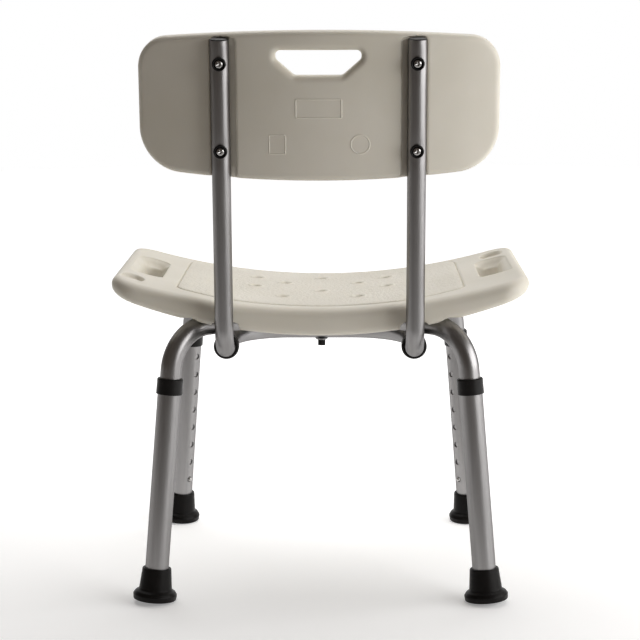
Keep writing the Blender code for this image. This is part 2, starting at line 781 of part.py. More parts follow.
def seat_body(inset, make, name, steps):
    """The seat's outline and its dished slab crossed; inset gives the hollow inside the wall."""
    half_x = SEAT_HALF_X - inset
    half_y = SEAT_HALF_Y - inset
    outline = rounded_rectangle(half_x, half_y, SEAT_CORNER - inset, 5)
    mesh = plate_mesh(outline, 0.2)
    body = make(name, mesh, Matrix.Translation((0, 0, SEAT_TOP_Z)))
    slab = dished_slab(
        SEAT_HALF_X + 10 * MM, SEAT_TOP_Z - inset, SEAT_TOP_R + inset,
        SEAT_UNDER_Z + inset, SEAT_UNDER_R - inset, steps,
    )
    boolean(body, add_cutter(f"{name}_slab", plate_mesh(slab, 0.5), STAND), "INTERSECT")
    return body


def tunnel_mesh(half, roof, length):
    """A tunnel with a round-shouldered roof, along its own z, open downwards along its own -y."""
    soft = TUNNEL_SHOULDER
    deep = 40 * MM
    outline = [(-half, -deep), (half, -deep)]
    outline += arc_points((half - soft, roof - soft), soft, 0, math.pi / 2, 4)
    outline += arc_points((soft - half, roof - soft), soft, math.pi / 2, math.pi, 4)
    return plate_mesh(outline, length)


def seat_tunnels(name, grow):
    """Where the frame tubes, the receiver's bushes and the centre bolt lie under the seat."""
    tunnels = []
    for key in ("rear_left", "rear_right"):
        along = leg_outward(LEGS[key])
        side = Vector((0, 0, 1)).cross(along)
        spin = Matrix((side, Vector((0, 0, 1)), along)).transposed().to_4x4()
        mesh = tunnel_mesh(
            FRAME_TUNNEL_HALF + grow, FRAME_TUNNEL_ROOF + grow, 2 * (FRAME_TUNNEL_REACH + grow)
        )
        place = Matrix.Translation((0, 0, FRAME_Z)) @ spin
        tunnels.append(add_cutter(f"{name}_{key}", mesh, place))
    for side, sign in SIDES.items():
        mesh = tunnel_mesh(CHANNEL_HALF + grow, grow, NOTCH_LENGTH + 2 * grow)
        place = Matrix.Translation((sign * BACK_X, NOTCH_MIDDLE_Y, NOTCH_TOP_Z)) @ STAND
        tunnels.append(add_cutter(f"{name}_bush_{side}", mesh, place))
    bolt = cylinder_mesh(BOLT_CLEAR_R + grow, SEAT_LOW, BOLT_CLEAR_TOP + grow, 12)
    tunnels.append(add_cutter(f"{name}_bolt", bolt))
    return tunnels


def grip_outline(grow):
    return rounded_rectangle(GRIP_HALF_X + grow, GRIP_HALF_Y + grow, GRIP_CORNER + grow, 4)


def drain_places():
    for x, ys in DRAIN_COLUMNS:
        for y in ys:
            yield x, y
            if x:
                yield -x, y


def build_seat():
    seat = seat_body(0.0, lambda n, m, p: add_part(n, m, "shell", p), "seat_panel", 18)
    chamfer(seat, SEAT_EDGE, 3)
    hollow = seat_body(SEAT_WALL, add_cutter, "seat_hollow", 14)
    chamfer(hollow, 4.0 * MM, 1)
    for cutter in seat_tunnels("hollow_tunnel", SEAT_WALL):
        boolean(hollow, cutter)
    for side, sign in SIDES.items():
        place = Matrix.Translation((sign * GRIP_X, 0, GRIP_LEVEL))
        wall = add_cutter(f"grip_wall_{side}", plate_mesh(grip_outline(SEAT_WALL), 0.1), place)
        boolean(hollow, wall)
    for key, signs in LEGS.items():
        post = cylinder_mesh(SCREW_POST_R, SEAT_LOW, SEAT_HIGH, 8)
        place = Matrix.Translation(leg_outward(signs) * SEAT_SCREW_OUT)
        boolean(hollow, add_cutter(f"screw_post_{key}", post, place))
    for n, (x, y) in enumerate(drain_places()):
        post = cylinder_mesh(DRAIN_R + DRAIN_WALL, SEAT_LOW, SEAT_HIGH, 8)
        boolean(hollow, add_cutter(f"drain_post_{n}", post, Matrix.Translation((x, y, 0))))
    boolean(seat, hollow)
    for cutter in seat_tunnels("seat_tunnel", 0.0):
        boolean(seat, cutter)
    for side, sign in SIDES.items():
        place = Matrix.Translation((sign * GRIP_X, 0, GRIP_LEVEL))
        boolean(seat, add_cutter(f"grip_{side}", plate_mesh(grip_outline(0.0), 0.12), place))
    for key, signs in LEGS.items():
        hole = cylinder_mesh(3.0 * MM, SEAT_LOW, FRAME_Z + FRAME_OD / 2 + 9.6 * MM, 8)
        place = Matrix.Translation(leg_outward(signs) * SEAT_SCREW_OUT)
        boolean(seat, add_cutter(f"screw_hole_{key}", hole, place))
    for n, (x, y) in enumerate(drain_places()):
        hole = cylinder_mesh(DRAIN_R, SEAT_LOW, SEAT_HIGH, 10)
        boolean(seat, add_cutter(f"drain_{n}", hole, Matrix.Translation((x, y, 0))))
    vent = cylinder_mesh(3 * MM, 310 * MM, 335 * MM, 8)
    boolean(seat, add_cutter("seat_vent", vent, Matrix.Translation((0, -110 * MM, 0))))


def bowed_outline(inset):
    """The backrest seen square on: bowed top and bottom, rounder corners below."""
    half = REST_HALF_X - inset
    points = []
    corners = (
        (1, REST_TOP - inset, REST_TOP_BOW - inset, REST_TOP_CORNER - inset, -1),
        (-1, REST_BOTTOM + inset, REST_BOTTOM_BOW - inset, REST_BOTTOM_CORNER - inset, 1),
    )
    for order, edge, bow, radius, inward in corners:
        centre_x = half - radius
        centre_z = edge + inward * (bow - math.sqrt((bow - radius) ** 2 - centre_x ** 2))
        lean = math.asin(centre_x / (bow - radius))
        if order == 1:
            side = arc_points((centre_x, centre_z), radius, 0, math.pi / 2 - lean, 5)
            rail = arc_points(
                (0, edge - bow), bow, math.pi / 2 - lean, math.pi / 2 + lean, 12
            )
            other = arc_points((-centre_x, centre_z), radius, math.pi / 2 + lean, math.pi, 5)
        else:
            side = arc_points((-centre_x, centre_z), radius, math.pi, 3 * math.pi / 2 - lean, 5)
            rail = arc_points(
                (0, edge + bow), bow, 3 * math.pi / 2 - lean, 3 * math.pi / 2 + lean, 12
            )
            other = arc_points(
                (centre_x, centre_z), radius, 3 * math.pi / 2 + lean, 2 * math.pi, 5
            )
        points += side + rail[1:-1] + other
    return points


def curved_slab(inset, steps):
    """The backrest seen from above: two arcs about one centre in front of it."""
    outer = REST_CURVE - inset
    inner = REST_CURVE - REST_THICK + inset
    reach = math.asin((REST_HALF_X + 12 * MM) / inner)
    centre = (0, REST_REAR_Y - REST_CURVE)
    up = math.pi / 2
    rear = arc_points(centre, outer, up - reach, up + reach, steps)
    front = arc_points(centre, inner, up + reach, up - reach, steps)
    return rear + front


def rest_body(inset, make, name, steps):
    mesh = plate_mesh(bowed_outline(inset), 0.2)
    body = make(name, mesh, REST_TILT @ STAND)
    slab = add_cutter(
        f"{name}_slab", plate_mesh(curved_slab(inset, steps), 0.3),
        REST_TILT @ Matrix.Translation((0, 0, (REST_TOP + REST_BOTTOM) / 2)),
    )
    boolean(body, slab, "INTERSECT")
    return body


def rest_grip_outline(grow):
    """The backrest's hand hole: wide above, with sloping lower corners."""
    top = GRIP_TOP_Z + grow
    low = GRIP_LOW_Z - grow
    wide = GRIP_TOP_HALF + grow
    narrow = GRIP_LOW_HALF + grow * 0.6
    knee = GRIP_TOP_Z - 12 * MM
    half = [
        (narrow, low), (narrow + 2.5 * MM, low + 1.2 * MM), (wide - 1.5 * MM, knee - 3 * MM),
        (wide, knee), (wide, top - 5 * MM), (wide - 1.5 * MM, top - 1.5 * MM), (wide - 5 * MM, top),
    ]
    return half + [(-x, z) for x, z in reversed(half)]


def channel_mesh(grow):
    """A shallow groove with round flanks, for a back tube; its floor is at its own y = 0."""
    half = CHANNEL_HALF + grow
    soft = 5.0 * MM
    outline = [(half, 40 * MM), (-half, 40 * MM)]
    outline += arc_points((soft - half, soft - grow), soft, math.pi, 3 * math.pi / 2, 4)
    outline += arc_points((half - soft, soft - grow), soft, 3 * math.pi / 2, 2 * math.pi, 4)
    return plate_mesh(outline, 0.4)


def channel_place(sign, top):
    floor = -BACK_OD / 2 - GAP
    return REST_TILT @ Matrix.Translation((sign * BACK_X, floor, top - 0.2))


def build_backrest():
    rest = rest_body(0.0, lambda n, m, p: add_part(n, m, "shell", p), "backrest_panel", 16)
    chamfer(rest, REST_EDGE, 3)
    split_faces(rest)
    channel_top = RECEIVER_Z + back_top() + 3.0 * MM
    hollow = rest_body(REST_WALL, add_cutter, "rest_hollow", 12)
    chamfer(hollow, 3.0 * MM, 1)
    split_faces(hollow)
    for side, sign in SIDES.items():
        groove = channel_mesh(REST_WALL)
        place = channel_place(sign, channel_top + REST_WALL)
        boolean(hollow, add_cutter(f"hollow_channel_{side}", groove, place))
        for n, drop in enumerate(SCREW_DROPS):
            post = cylinder_mesh(7 * MM, -40 * MM, 0.0, 8)
            place = facing(back_point(sign, drop), rearward())
            boolean(hollow, add_cutter(f"rest_post_{side}_{n}", post, place))
    wall = plate_mesh(rest_grip_outline(REST_WALL), 0.3)
    boolean(hollow, add_cutter("rest_grip_wall", wall, REST_TILT @ STAND))
    boolean(rest, hollow)
    for side, sign in SIDES.items():
        groove = add_cutter(f"channel_{side}", channel_mesh(0.0), channel_place(sign, channel_top))
        boolean(rest, groove)
        for n, drop in enumerate(SCREW_DROPS):
            hole = cylinder_mesh(3.0 * MM, -20.6 * MM, 0.0, 8)
            place = facing(back_point(sign, drop), rearward())
            boolean(rest, add_cutter(f"rest_screw_hole_{side}_{n}", hole, place))
    opening = plate_mesh(rest_grip_outline(0.0), 0.3)
    boolean(rest, add_cutter("rest_grip", opening, REST_TILT @ STAND))
    vent = cylinder_mesh(3 * MM, REST_BOTTOM - 8 * MM, REST_BOTTOM + 8 * MM, 8)
    middle = REST_REAR_Y - REST_THICK / 2
    boolean(rest, add_cutter("rest_vent", vent, REST_TILT @ Matrix.Translation((0, middle, 0))))
    use_manifold_solver(rest)


# ---- the chair --------------------------------------------------------------------------------

clear_scene()
PARTS = make_collection("shower_chair")
CUTTERS = make_collection("cutters")

build_seat()
build_backrest()
build_frame_tube("frame_tube_upper", LEGS["rear_left"], CROSS_SHIFT)
build_frame_tube("frame_tube_lower", LEGS["rear_right"], -CROSS_SHIFT)
build_centre_bolt()
build_receiver()
for leg_name, leg_signs in LEGS.items():
    build_leg(leg_name, leg_signs)
    build_collar(leg_name, leg_signs)
    build_foot(leg_name, leg_signs)
    build_foot_washer(leg_name, leg_signs)
    build_leg_button(leg_name, leg_signs)
    build_seat_screw(leg_name, leg_signs)
for side_name, side_sign in SIDES.items():
    build_back_tube(side_name, side_sign)
    build_back_button(side_name, side_sign)
    build_tube_cap(side_name, side_sign)
    for screw_name, screw_drop in zip(("upper", "lower"), SCREW_DROPS):
        build_back_screw(f"{side_name}_{screw_name}", side_sign, screw_drop)
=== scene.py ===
"""The looks of the shower chair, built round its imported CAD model.

Metres, +Z up, the floor at z = 0. The sitter faces -Y, so the backrest is on the +Y side and the
camera stands behind it. Each leg stands in an upright plane through the chair's middle; places
along a leg are given as s, the distance up the leg's axis from the floor.
"""

from math import asin, atan2, ceil, cos, hypot, pi, radians, sin, sqrt, tan

import bmesh
import bpy
import numpy as np
from mathutils import Matrix, Vector
from mathutils.geometry import delaunay_2d_cdt


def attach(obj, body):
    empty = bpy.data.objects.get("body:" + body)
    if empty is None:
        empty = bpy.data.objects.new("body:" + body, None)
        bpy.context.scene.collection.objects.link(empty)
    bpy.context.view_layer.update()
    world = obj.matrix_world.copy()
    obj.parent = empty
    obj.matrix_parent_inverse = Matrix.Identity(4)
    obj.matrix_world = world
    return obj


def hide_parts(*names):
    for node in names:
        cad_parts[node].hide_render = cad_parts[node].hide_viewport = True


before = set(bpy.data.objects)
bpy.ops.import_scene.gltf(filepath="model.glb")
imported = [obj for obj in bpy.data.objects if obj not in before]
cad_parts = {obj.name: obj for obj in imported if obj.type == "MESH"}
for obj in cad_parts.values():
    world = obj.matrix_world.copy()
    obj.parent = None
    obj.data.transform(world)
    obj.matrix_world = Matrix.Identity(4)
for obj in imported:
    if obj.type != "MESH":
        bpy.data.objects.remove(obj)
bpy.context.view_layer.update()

MM = 0.001

# Legs and frame, as in the CAD
FOOT_X = 203 * MM
FOOT_Y = 180 * MM
LEG_LEAN = radians(6.19)
FRAME_OD = 25.4 * MM
LEG_OD = 28.6 * MM
TUBE_WALL = 1.2 * MM
FRAME_Z = 333 * MM
FRAME_BEND = 55 * MM
FRAME_END_S = 44 * MM
LEG_BOTTOM_S = 8.8 * MM
LEG_TOP_S = 272 * MM
HOLE_PITCH = 25.4 * MM
HOLE_COUNT = 8
FIRST_HOLE_S = 64 * MM
LEG_HOLE_R = 3.7 * MM
CROSS_SHIFT = 6.35 * MM
CROSS_SQUASH = 0.46
CROSS_FLAT = 20 * MM
CROSS_BLEND = 62 * MM
CROSS_WIDEN = 0.22
CROSS_STATIONS = range(64, -65, -4)  # mm from the middle
COLLAR_R = 16.2 * MM
COLLAR_BOTTOM_S = 256.5 * MM
COLLAR_TOP_S = 276 * MM
FOOT_BASE_R = 27 * MM
FOOT_BASE_H = 12.5 * MM
FOOT_CUFF_TOP_S = 42 * MM

# Receiver and back tubes
RECEIVER_Z = 307 * MM
RECEIVER_OD = 25.4 * MM
RECEIVER_BEND = 75 * MM
BACK_X = 114.7 * MM
BACK_OD = 22.2 * MM
BACK_LEAN = radians(4.5)
BACK_CORNER_Y = 163 * MM
BACK_BEND = 33 * MM
BACK_TOP_Z = 680 * MM
BUSH_R = 15.5 * MM
BUSH_LENGTH = 14 * MM
BUSH_FACE_Y = 131 * MM
LIP = 2.6 * MM
STUB_LENGTH = 52 * MM
BACK_BUTTON_Y = 104 * MM
SCREW_DROPS = (26.8 * MM, 128.8 * MM)
DENT = 1.3 * MM
DENT_SPREAD = 0.25 * MM

# Snap buttons
BUTTON_R = 3.2 * MM
BUTTON_PROUD = 2.7 * MM
BUTTON_FLANGE_R = 4.4 * MM
BUTTON_FLANGE = 1 * MM

# The square of finer mesh round a hole reaches this many times its radius
HOLE_REACH = 2.2


def in_mm(rows):
    """Rows of millimetres as rows of metres."""
    return [tuple(v * MM for v in row) for row in rows]


# Seat
SEAT_HALF_X = 254.5 * MM
SEAT_HALF_Y = 152 * MM
SEAT_CORNER = 34 * MM
SEAT_TOP_Z = 357 * MM
SEAT_TOP_R = 834 * MM
SEAT_UNDER_Z = 323.5 * MM
SEAT_UNDER_R = 670 * MM
SEAT_EDGE = 9 * MM
GRIP_X = 216 * MM
GRIP_HALF_X = 15 * MM
GRIP_HALF_Y = 56 * MM
GRIP_CORNER = 14.8 * MM
DRAIN_R = 5 * MM
DRAIN_COLUMNS = (
    (0.0, (-87 * MM, 17 * MM)),
    (47 * MM, (-40 * MM, 66 * MM)),
    (84 * MM, (-69 * MM, 0.0)),
)
SEAT_TOP_EDGE = 12.5 * MM
DISH_HALF_X = 21 * MM
DISH_X = 219 * MM
DISH_REAR = 58.5 * MM
DISH_FRONT = -73 * MM
DISH_STEP = 1.1 * MM
DISH_FALL = 6.5 * MM
DISH_REACH = 9.5 * MM
THUMB_PLACES = ((231 * MM, 104 * MM), (-223 * MM, -98 * MM))
THUMB_HALF_X = 15.5 * MM
THUMB_HALF_Y = 24 * MM
THUMB_DEEP = 6.5 * MM
GRIP_LIP = 3.5 * MM
DRAIN_LIP = 1.6 * MM
INSET_GROOVE = 1.5 * MM
INSET_PROUD = 0.9 * MM
INSET_CORNERS = in_mm((  # x, y, corner radius
    (-176, -131, 26), (176, -131, 26), (177, 104, 16), (112, 125.5, 120),
    (0, 129.5, 600), (-112, 125.5, 120), (-177, 104, 16),
))
TUNNEL_HALF = 16.8 * MM
TUNNEL_SPARE = 2.6 * MM
TUNNEL_REACH = 222 * MM
TUNNEL_SHOULDER = 8 * MM
NOTCH_FROM_Y = 98 * MM
NOTCH_ROOF_Z = 341.5 * MM
POCKET_R = 11 * MM
POCKET_ROOF_Z = 349.5 * MM

# Backrest, in its own upright frame: x across, z up the tubes, y rearward from the tube axes
REST_HALF_X = 213.7 * MM
REST_TOP = 691.7 * MM
REST_BOTTOM = 516.5 * MM
REST_TOP_BOW = 1840 * MM
REST_BOTTOM_BOW = 2250 * MM
REST_TOP_CORNER = 38 * MM
REST_BOTTOM_CORNER = 52 * MM
REST_CURVE = 560 * MM
REST_THICK = 22 * MM
REST_EDGE = 6 * MM
REST_REAR_Y = 8.7 * MM
CHANNEL_HALF = 17.5 * MM
CHANNEL_INNER = 18.6 * MM
CHANNEL_OUTER = 12.6 * MM
CHANNEL_LOW = 480 * MM
REST_GRIP = in_mm((  # x, z, corner radius
    (50, 669.1, 6), (-50, 669.1, 6), (-50, 658.6, 6),
    (-28, 639.7, 8), (28, 639.7, 8), (50, 658.6, 6),
))
REST_MARKS = in_mm((  # x, z, half width, half height, corner, half width and height of the line
    (0, 602.2, 26.6, 10.8, 1.5, 0.85, 0.62),
    (48.5, 560.0, 9.5, 11.0, 1.5, 0.8, 0.5),
    (-48.5, 560.0, 11.0, 11.0, 11.0, 0.8, 0.5),
))

# Back screws: the cup in radius and height above the tube; plain numbers are in mm
CUP_PROFILE = in_mm((
    (3.4, -1.2), (3.4, 0.6), (5.7, 0.8), (6.2, 2.9), (6.9, 3.4), (7.9, 2.8),
    (8.2, 0.4), (7.9, -1.2),
))
HEAD_ABOVE_TUBE = 1 * MM
HEAD_TALL = 2.9
HEAD_DOME_R = 5.15
HEAD_R = 5.1
RECESS_DEEP = 2.0
RECESS_HALF = 0.62
RECESS_REACH = 2.7
SHANK_R = 2.6
SHANK_END = -17 * MM
SHANK_TIP = -19 * MM
HEAD_RINGS = (0.25, 0.5, 0.75, 1.0, 1.25, 1.5, 1.75, 2.0, 2.25, 2.5, 2.75, 3.0, 3.3, 3.6, 4.0, 4.4,
              4.7, 4.95, 5.08, HEAD_R)

LEGS = {
    "rear_left": (1, 1),
    "rear_right": (-1, 1),
    "front_left": (1, -1),
    "front_right": (-1, -1),
}
SIDES = {"left": 1, "right": -1}

LEG_AZIMUTH = atan2(FOOT_Y, FOOT_X)
FOOT_REACH = hypot(FOOT_X, FOOT_Y)
CORNER_REACH = FOOT_REACH - FRAME_Z * tan(LEG_LEAN)
BACK_UP = Vector((0, sin(BACK_LEAN), cos(BACK_LEAN)))
REARWARD = Vector((0, cos(BACK_LEAN), -sin(BACK_LEAN)))
BACK_TOP = (BACK_TOP_Z - RECEIVER_Z) / cos(BACK_LEAN)
CHANNEL_TOP = RECEIVER_Z + BACK_TOP + 3 * MM


# ---- materials

def set_values(node, values):
    """Sets a node's attributes and, with _ for a space in the name, its inputs."""
    for key, value in values.items():
        if hasattr(node, key):
            setattr(node, key, value)
        else:
            node.inputs[key.replace("_", " ")].default_value = value
    return node


def new_material(name, colour, roughness, **values):
    mat = bpy.data.materials.new(name)
    mat.use_nodes = True
    shader = mat.node_tree.nodes["Principled BSDF"]
    set_values(shader, {"Base_Color": (*colour, 1.0), "Roughness": roughness, **values})
    return mat, mat.node_tree, shader.inputs


def add_node(tree, kind, **values):
    return set_values(tree.nodes.new(kind), values)


def noise(tree, scale, detail=3.0, coords="Object", stretch=(1, 1, 1)):
    place = add_node(tree, "ShaderNodeTexCoord")
    mapping = add_node(tree, "ShaderNodeMapping", Scale=stretch)
    texture = add_node(tree, "ShaderNodeTexNoise", Scale=scale, Detail=detail)
    tree.links.new(place.outputs[coords], mapping.inputs["Vector"])
    tree.links.new(mapping.outputs["Vector"], texture.inputs["Vector"])
    return texture.outputs["Fac"]


def ramp(tree, source, low, high, target, at=(0.35, 0.65)):
    """Turns a 0 to 1 number into a colour or a number between two values, for a target input."""
    node = add_node(tree, "ShaderNodeValToRGB")
    for element, value, place in zip(node.color_ramp.elements, (low, high), at):
        element.color = (*value, 1.0) if isinstance(value, tuple) else (value,) * 3 + (1.0,)
        element.position = place
    tree.links.new(source, node.inputs["Fac"])
    tree.links.new(node.outputs["Color"], target)


def add_bump(tree, inputs, source, strength, distance):
    node = add_node(tree, "ShaderNodeBump", Strength=strength, Distance=distance)
    tree.links.new(source, node.inputs["Height"])
    last = inputs["Normal"]
    if last.is_linked:
        tree.links.new(last.links[0].from_socket, node.inputs["Normal"])
    tree.links.new(node.outputs["Normal"], last)


def shell_material(name, pebble, deep):
    """Ivory moulded plastic with a fine grain, faint cloudiness and a pebble of a given size."""
    mat, tree, inputs = new_material(
        name, (0.73, 0.69, 0.60), 0.46, Specular_IOR_Level=0.35,
        Subsurface_Weight=0.08, Subsurface_Radius=(0.004, 0.003, 0.002),
    )
    cloud = noise(tree, 9.0)
    ramp(tree, cloud, (0.70, 0.66, 0.565), (0.755, 0.715, 0.625), inputs["Base Color"])
    grain = noise(tree, 700.0, 2.0)
    ramp(tree, grain, 0.42, 0.56, inputs["Roughness"])
    add_bump(tree, inputs, grain, 0.25, 0.2 * MM)
    add_bump(tree, inputs, noise(tree, pebble), 0.7, deep)
    return mat


def metal_material(name, colour, low, high, brushed, grain=0.06, edge=(1.0, 1.0, 1.0)):
    """Metal by its UV map in metres; when brushed, fine draw lines run along the tube."""
    mat, tree, inputs = new_material(name, colour, (low + high) / 2, Metallic=1.0,
                                     Specular_Tint=(*edge, 1.0))
    stretch = (1800.0, 26.0, 1.0) if brushed else (500.0, 500.0, 1.0)
    lines = noise(tree, 1.0, 4.0, "UV", stretch)
    ramp(tree, lines, low, high, inputs["Roughness"])
    dark = tuple(c * (0.86 if brushed else 0.93) for c in colour)
    stain = noise(tree, 1.0, 2.0, "UV", (160.0, 5.0, 1.0)) if brushed else noise(tree, 14.0)
    ramp(tree, stain, dark, colour, inputs["Base Color"])
    add_bump(tree, inputs, lines, grain, 0.1 * MM)
    return mat


def plain_material(name, colour, low, high, scale, bump, specular=0.2):
    """Dull moulded plastic or rubber with a faint grain."""
    mat, tree, inputs = new_material(name, colour, (low + high) / 2,
                                     Specular_IOR_Level=specular)
    grain = noise(tree, scale)
    light = tuple(min(c * 1.5, 1.0) for c in colour)
    ramp(tree, noise(tree, 40.0), colour, light, inputs["Base Color"])
    ramp(tree, grain, low, high, inputs["Roughness"])
    add_bump(tree, inputs, grain, bump, 0.2 * MM)
    return mat


IVORY = shell_material("ivory_plastic", 120.0, 0.12 * MM)
PEBBLED = shell_material("ivory_pebbled", 240.0, 2.2 * MM)
ANODISED = metal_material("anodised_aluminium", (0.36, 0.352, 0.352), 0.30, 0.42, True, 0.06,
                          (0.42, 0.42, 0.42))
CHROME = metal_material("bright_chrome", (0.46, 0.45, 0.44), 0.12, 0.22, False, 0.02)
STEEL = metal_material("zinc_steel", (0.56, 0.56, 0.57), 0.30, 0.42, False)
BLACK = plain_material("black_moulding", (0.007, 0.0063, 0.006), 0.34, 0.46, 450.0, 0.12)
RUBBER = plain_material("foot_rubber", (0.005, 0.0043, 0.004), 0.34, 0.48, 320.0, 0.2, 0.12)


# ---- pieces

def make_mesh(name, verts, faces, smooth_angle=40.0, uvs=None):
    """A closed, smooth-shaded mesh; uvs gives a pair for each vertex."""
    mesh = bpy.data.meshes.new(name)
    mesh.from_pydata([tuple(v) for v in verts], [], [tuple(f) for f in faces])
    if uvs is not None:
        layer = mesh.uv_layers.new(name="UVMap")
        corners = np.zeros(len(mesh.loops), np.int32)
        mesh.loops.foreach_get("vertex_index", corners)
        layer.data.foreach_set("uv", np.asarray(uvs, np.float32)[corners].ravel())
    bm = bmesh.new()
    bm.from_mesh(mesh)
    bmesh.ops.recalc_face_normals(bm, faces=bm.faces)
    bm.to_mesh(mesh)
    bm.free()
    mesh.shade_smooth()
    mesh.set_sharp_from_angle(angle=radians(smooth_angle))
    return mesh


def new_object(name, data):
    obj = bpy.data.objects.new(name, data)
    bpy.context.scene.collection.objects.link(obj)
    return obj


def add_piece(name, mesh, material, body, *nodes, place=None):
    """One visible piece: it rides on a body and stands for the CAD nodes named."""
    if place is not None:
        mesh = mesh.copy()
        mesh.transform(place)
    mesh.materials.append(material)
    obj = new_object(name, mesh)
    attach(obj, body)
    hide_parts(*nodes)
    return obj


def facing(origin, direction):
    """A frame at a point whose +z looks along a direction."""
    spin = Vector(direction).normalized().to_track_quat("Z", "Y").to_matrix().to_4x4()
    return Matrix.Translation(origin) @ spin


def frame_at(origin, x, z):
    """A frame at a point with its +x and +z along two square directions."""
    return Matrix.Translation(origin) @ Matrix((x, z.cross(x), z)).transposed().to_4x4()


def ring_faces(rings, closed=False):
    """Faces that join rings of vertex numbers in order; a ring of one number is a point."""
    faces = []
    for ring, after in zip(rings, rings[1:] + rings[:1] if closed else rings[1:]):
        steps = max(len(ring), len(after))
        for k in range(steps):
            n = (k + 1) % steps
            if len(ring) == 1:
                faces.append((ring[0], after[k], after[n]))
            elif len(after) == 1:
                faces.append((ring[k], after[0], ring[n]))
            else:
                faces.append((ring[k], after[k], after[n], ring[n]))
    return faces


def turned(name, profile, steps=48, smooth_angle=35.0):
    """A (radius, height) profile turned about z; points on the axis become one vertex."""
    verts = []
    rings = []
    uvs = []
    for radius, height in profile:
        count = steps if radius > 0 else 1
        rings.append(list(range(len(verts), len(verts) + count)))
        for k in range(count):
            angle = 2 * pi * k / steps
            verts.append((radius * cos(angle), radius * sin(angle), height))
            uvs.append((radius * angle, height))
    faces = ring_faces(rings, profile[0][0] > 0)
    return make_mesh(name, verts, faces, smooth_angle, uvs)


def round_corner(corner, before, after, radius, steps=4):
    """The rounded corner of a profile, from the side of one neighbour to the other."""
    c = Vector(corner)
    into = (Vector(before) - c).normalized()
    out = (Vector(after) - c).normalized()
    half = into.angle(out) / 2
    reach = radius / tan(half)
    start = c + into * reach
    finish = c + out * reach
    points = []
    for k in range(steps + 1):
        t = k / steps
        # a quadratic curve follows the small arc closely enough
        points.append(start * (1 - t) ** 2 + c * 2 * t * (1 - t) + finish * t ** 2)
    return [(p.x, p.y) for p in points]


def soften(profile, radii):
    """Rounds the corners of a profile; radii maps a corner's number to its radius."""
    out = []
    for k, corner in enumerate(profile):
        if k in radii:
            after = profile[(k + 1) % len(profile)]
            out += round_corner(corner, profile[k - 1], after, radii[k])
        else:
            out.append(corner)
    return out


# ---- outlines made of arcs

def rounded_box(cx, cy, half_x, half_y, radius):
    """Corner arcs (centre x, centre y, radius, start, end), anticlockwise."""
    corners = ((1, 1), (-1, 1), (-1, -1), (1, -1))
    return [
        (cx + sx * (half_x - radius), cy + sy * (half_y - radius), radius,
         k * pi / 2, (k + 1) * pi / 2)
        for k, (sx, sy) in enumerate(corners)
    ]


def rounded_polygon(corners):
    """Arcs for a convex polygon given anticlockwise as (x, y, corner radius)."""
    arcs = []
    count = len(corners)
    for k, (x, y, radius) in enumerate(corners):
        before = corners[(k - 1) % count]
        after = corners[(k + 1) % count]
        start = atan2(-(x - before[0]), y - before[1])
        end = atan2(-(after[0] - x), after[1] - y)
        if end < start:
            end += 2 * pi
        middle = (start + end) / 2
        back = radius / cos((end - start) / 2)
        arcs.append((x - back * cos(middle), y - back * sin(middle), radius, start, end))
    return arcs


def trace(arcs, grow=0.0, step=3 * MM, least=6):
    """Points along an outline moved outward by grow; every copy has the same count of points."""
    points = []
    for k, (cx, cy, radius, start, end) in enumerate(arcs):
        count = max(least, ceil((end - start) * radius / step))
        angles = np.linspace(start, end, count + 1)
        reach = max(radius + grow, 0.0)
        arc = np.c_[cx + reach * np.cos(angles), cy + reach * np.sin(angles)]
        nx, ny, nr, na, _ = arcs[(k + 1) % len(arcs)]
        nr = max(nr + grow, 0.0)
        after = np.array((nx + nr * cos(na), ny + nr * sin(na)))
        gap = np.hypot(*(after - arc[-1]))
        if gap < 0.02 * MM:
            points.append(arc[:-1])
            continue
        points.append(arc)
        runs = ceil(gap / step)
        shares = np.arange(1, runs)[:, None] / runs
        points.append(arc[-1] * (1 - shares) + after * shares)
    return np.concatenate(points)


def traces(arcs, places, step, unit=MM):
    """Copies of an outline moved outward by several amounts."""
    return [trace(arcs, place * unit, step) for place in places]


def outside(points, loop):
    """How far points lie outside a convex outline; negative inside."""
    ahead = np.roll(loop, -1, axis=0) - loop
    length = np.hypot(ahead[:, 0], ahead[:, 1])
    real = length > 1e-6
    normal = np.c_[ahead[real, 1], -ahead[real, 0]] / length[real, None]
    offset = (normal * loop[real]).sum(axis=1)
    parts = [
        (block @ normal.T - offset).max(axis=1)
        for block in np.array_split(points, max(1, len(points) // 4096))
    ]
    return np.concatenate(parts)


def edge_drop(inset, radius):
    """How much lower a surface is near a rounded edge, by its distance from the edge."""
    near = np.clip(radius - inset, 0.0, radius)
    return radius - np.sqrt(np.maximum(radius * radius - near * near, 0.0))


def smooth_step(share):
    share = np.clip(share, 0.0, 1.0)
    return share * share * (3 - 2 * share)


def bump_line(distance, half_width, height):
    """A rounded ridge along an outline, by the distance from it."""
    return height * smooth_step(1 - np.abs(distance) / half_width)


def edge_rings(arcs, radius, sign, steps=6, beyond=(2.5 * MM, 6 * MM), step=3 * MM):
    """Rows of points that follow a rounded edge; sign is +1 outward and -1 inward."""
    places = [radius * (1 - cos(pi / 2 * k / steps)) for k in range(1, steps + 1)]
    places += [radius + b for b in beyond]
    return [trace(arcs, sign * p, step) for p in places]


def keep_clear(points, rows, gap):
    """The points that no row comes near, so that rows keep their shape."""
    taken = set()
    for row in rows:
        for x, y in np.floor(row / gap).astype(int):
            taken.update((x + i, y + j) for i in (-1, 0, 1) for j in (-1, 0, 1))
    keys = np.floor(points / gap).astype(int)
    free = [k for k, (x, y) in enumerate(keys) if (x, y) not in taken]
    return points[free]


def fill_grid(loop, spacing):
    ends = zip(loop.min(axis=0) + spacing / 2, loop.max(axis=0))
    gx, gy = np.meshgrid(*[np.arange(low, high, spacing) for low, high in ends])
    return np.c_[gx.ravel(), gy.ravel()]


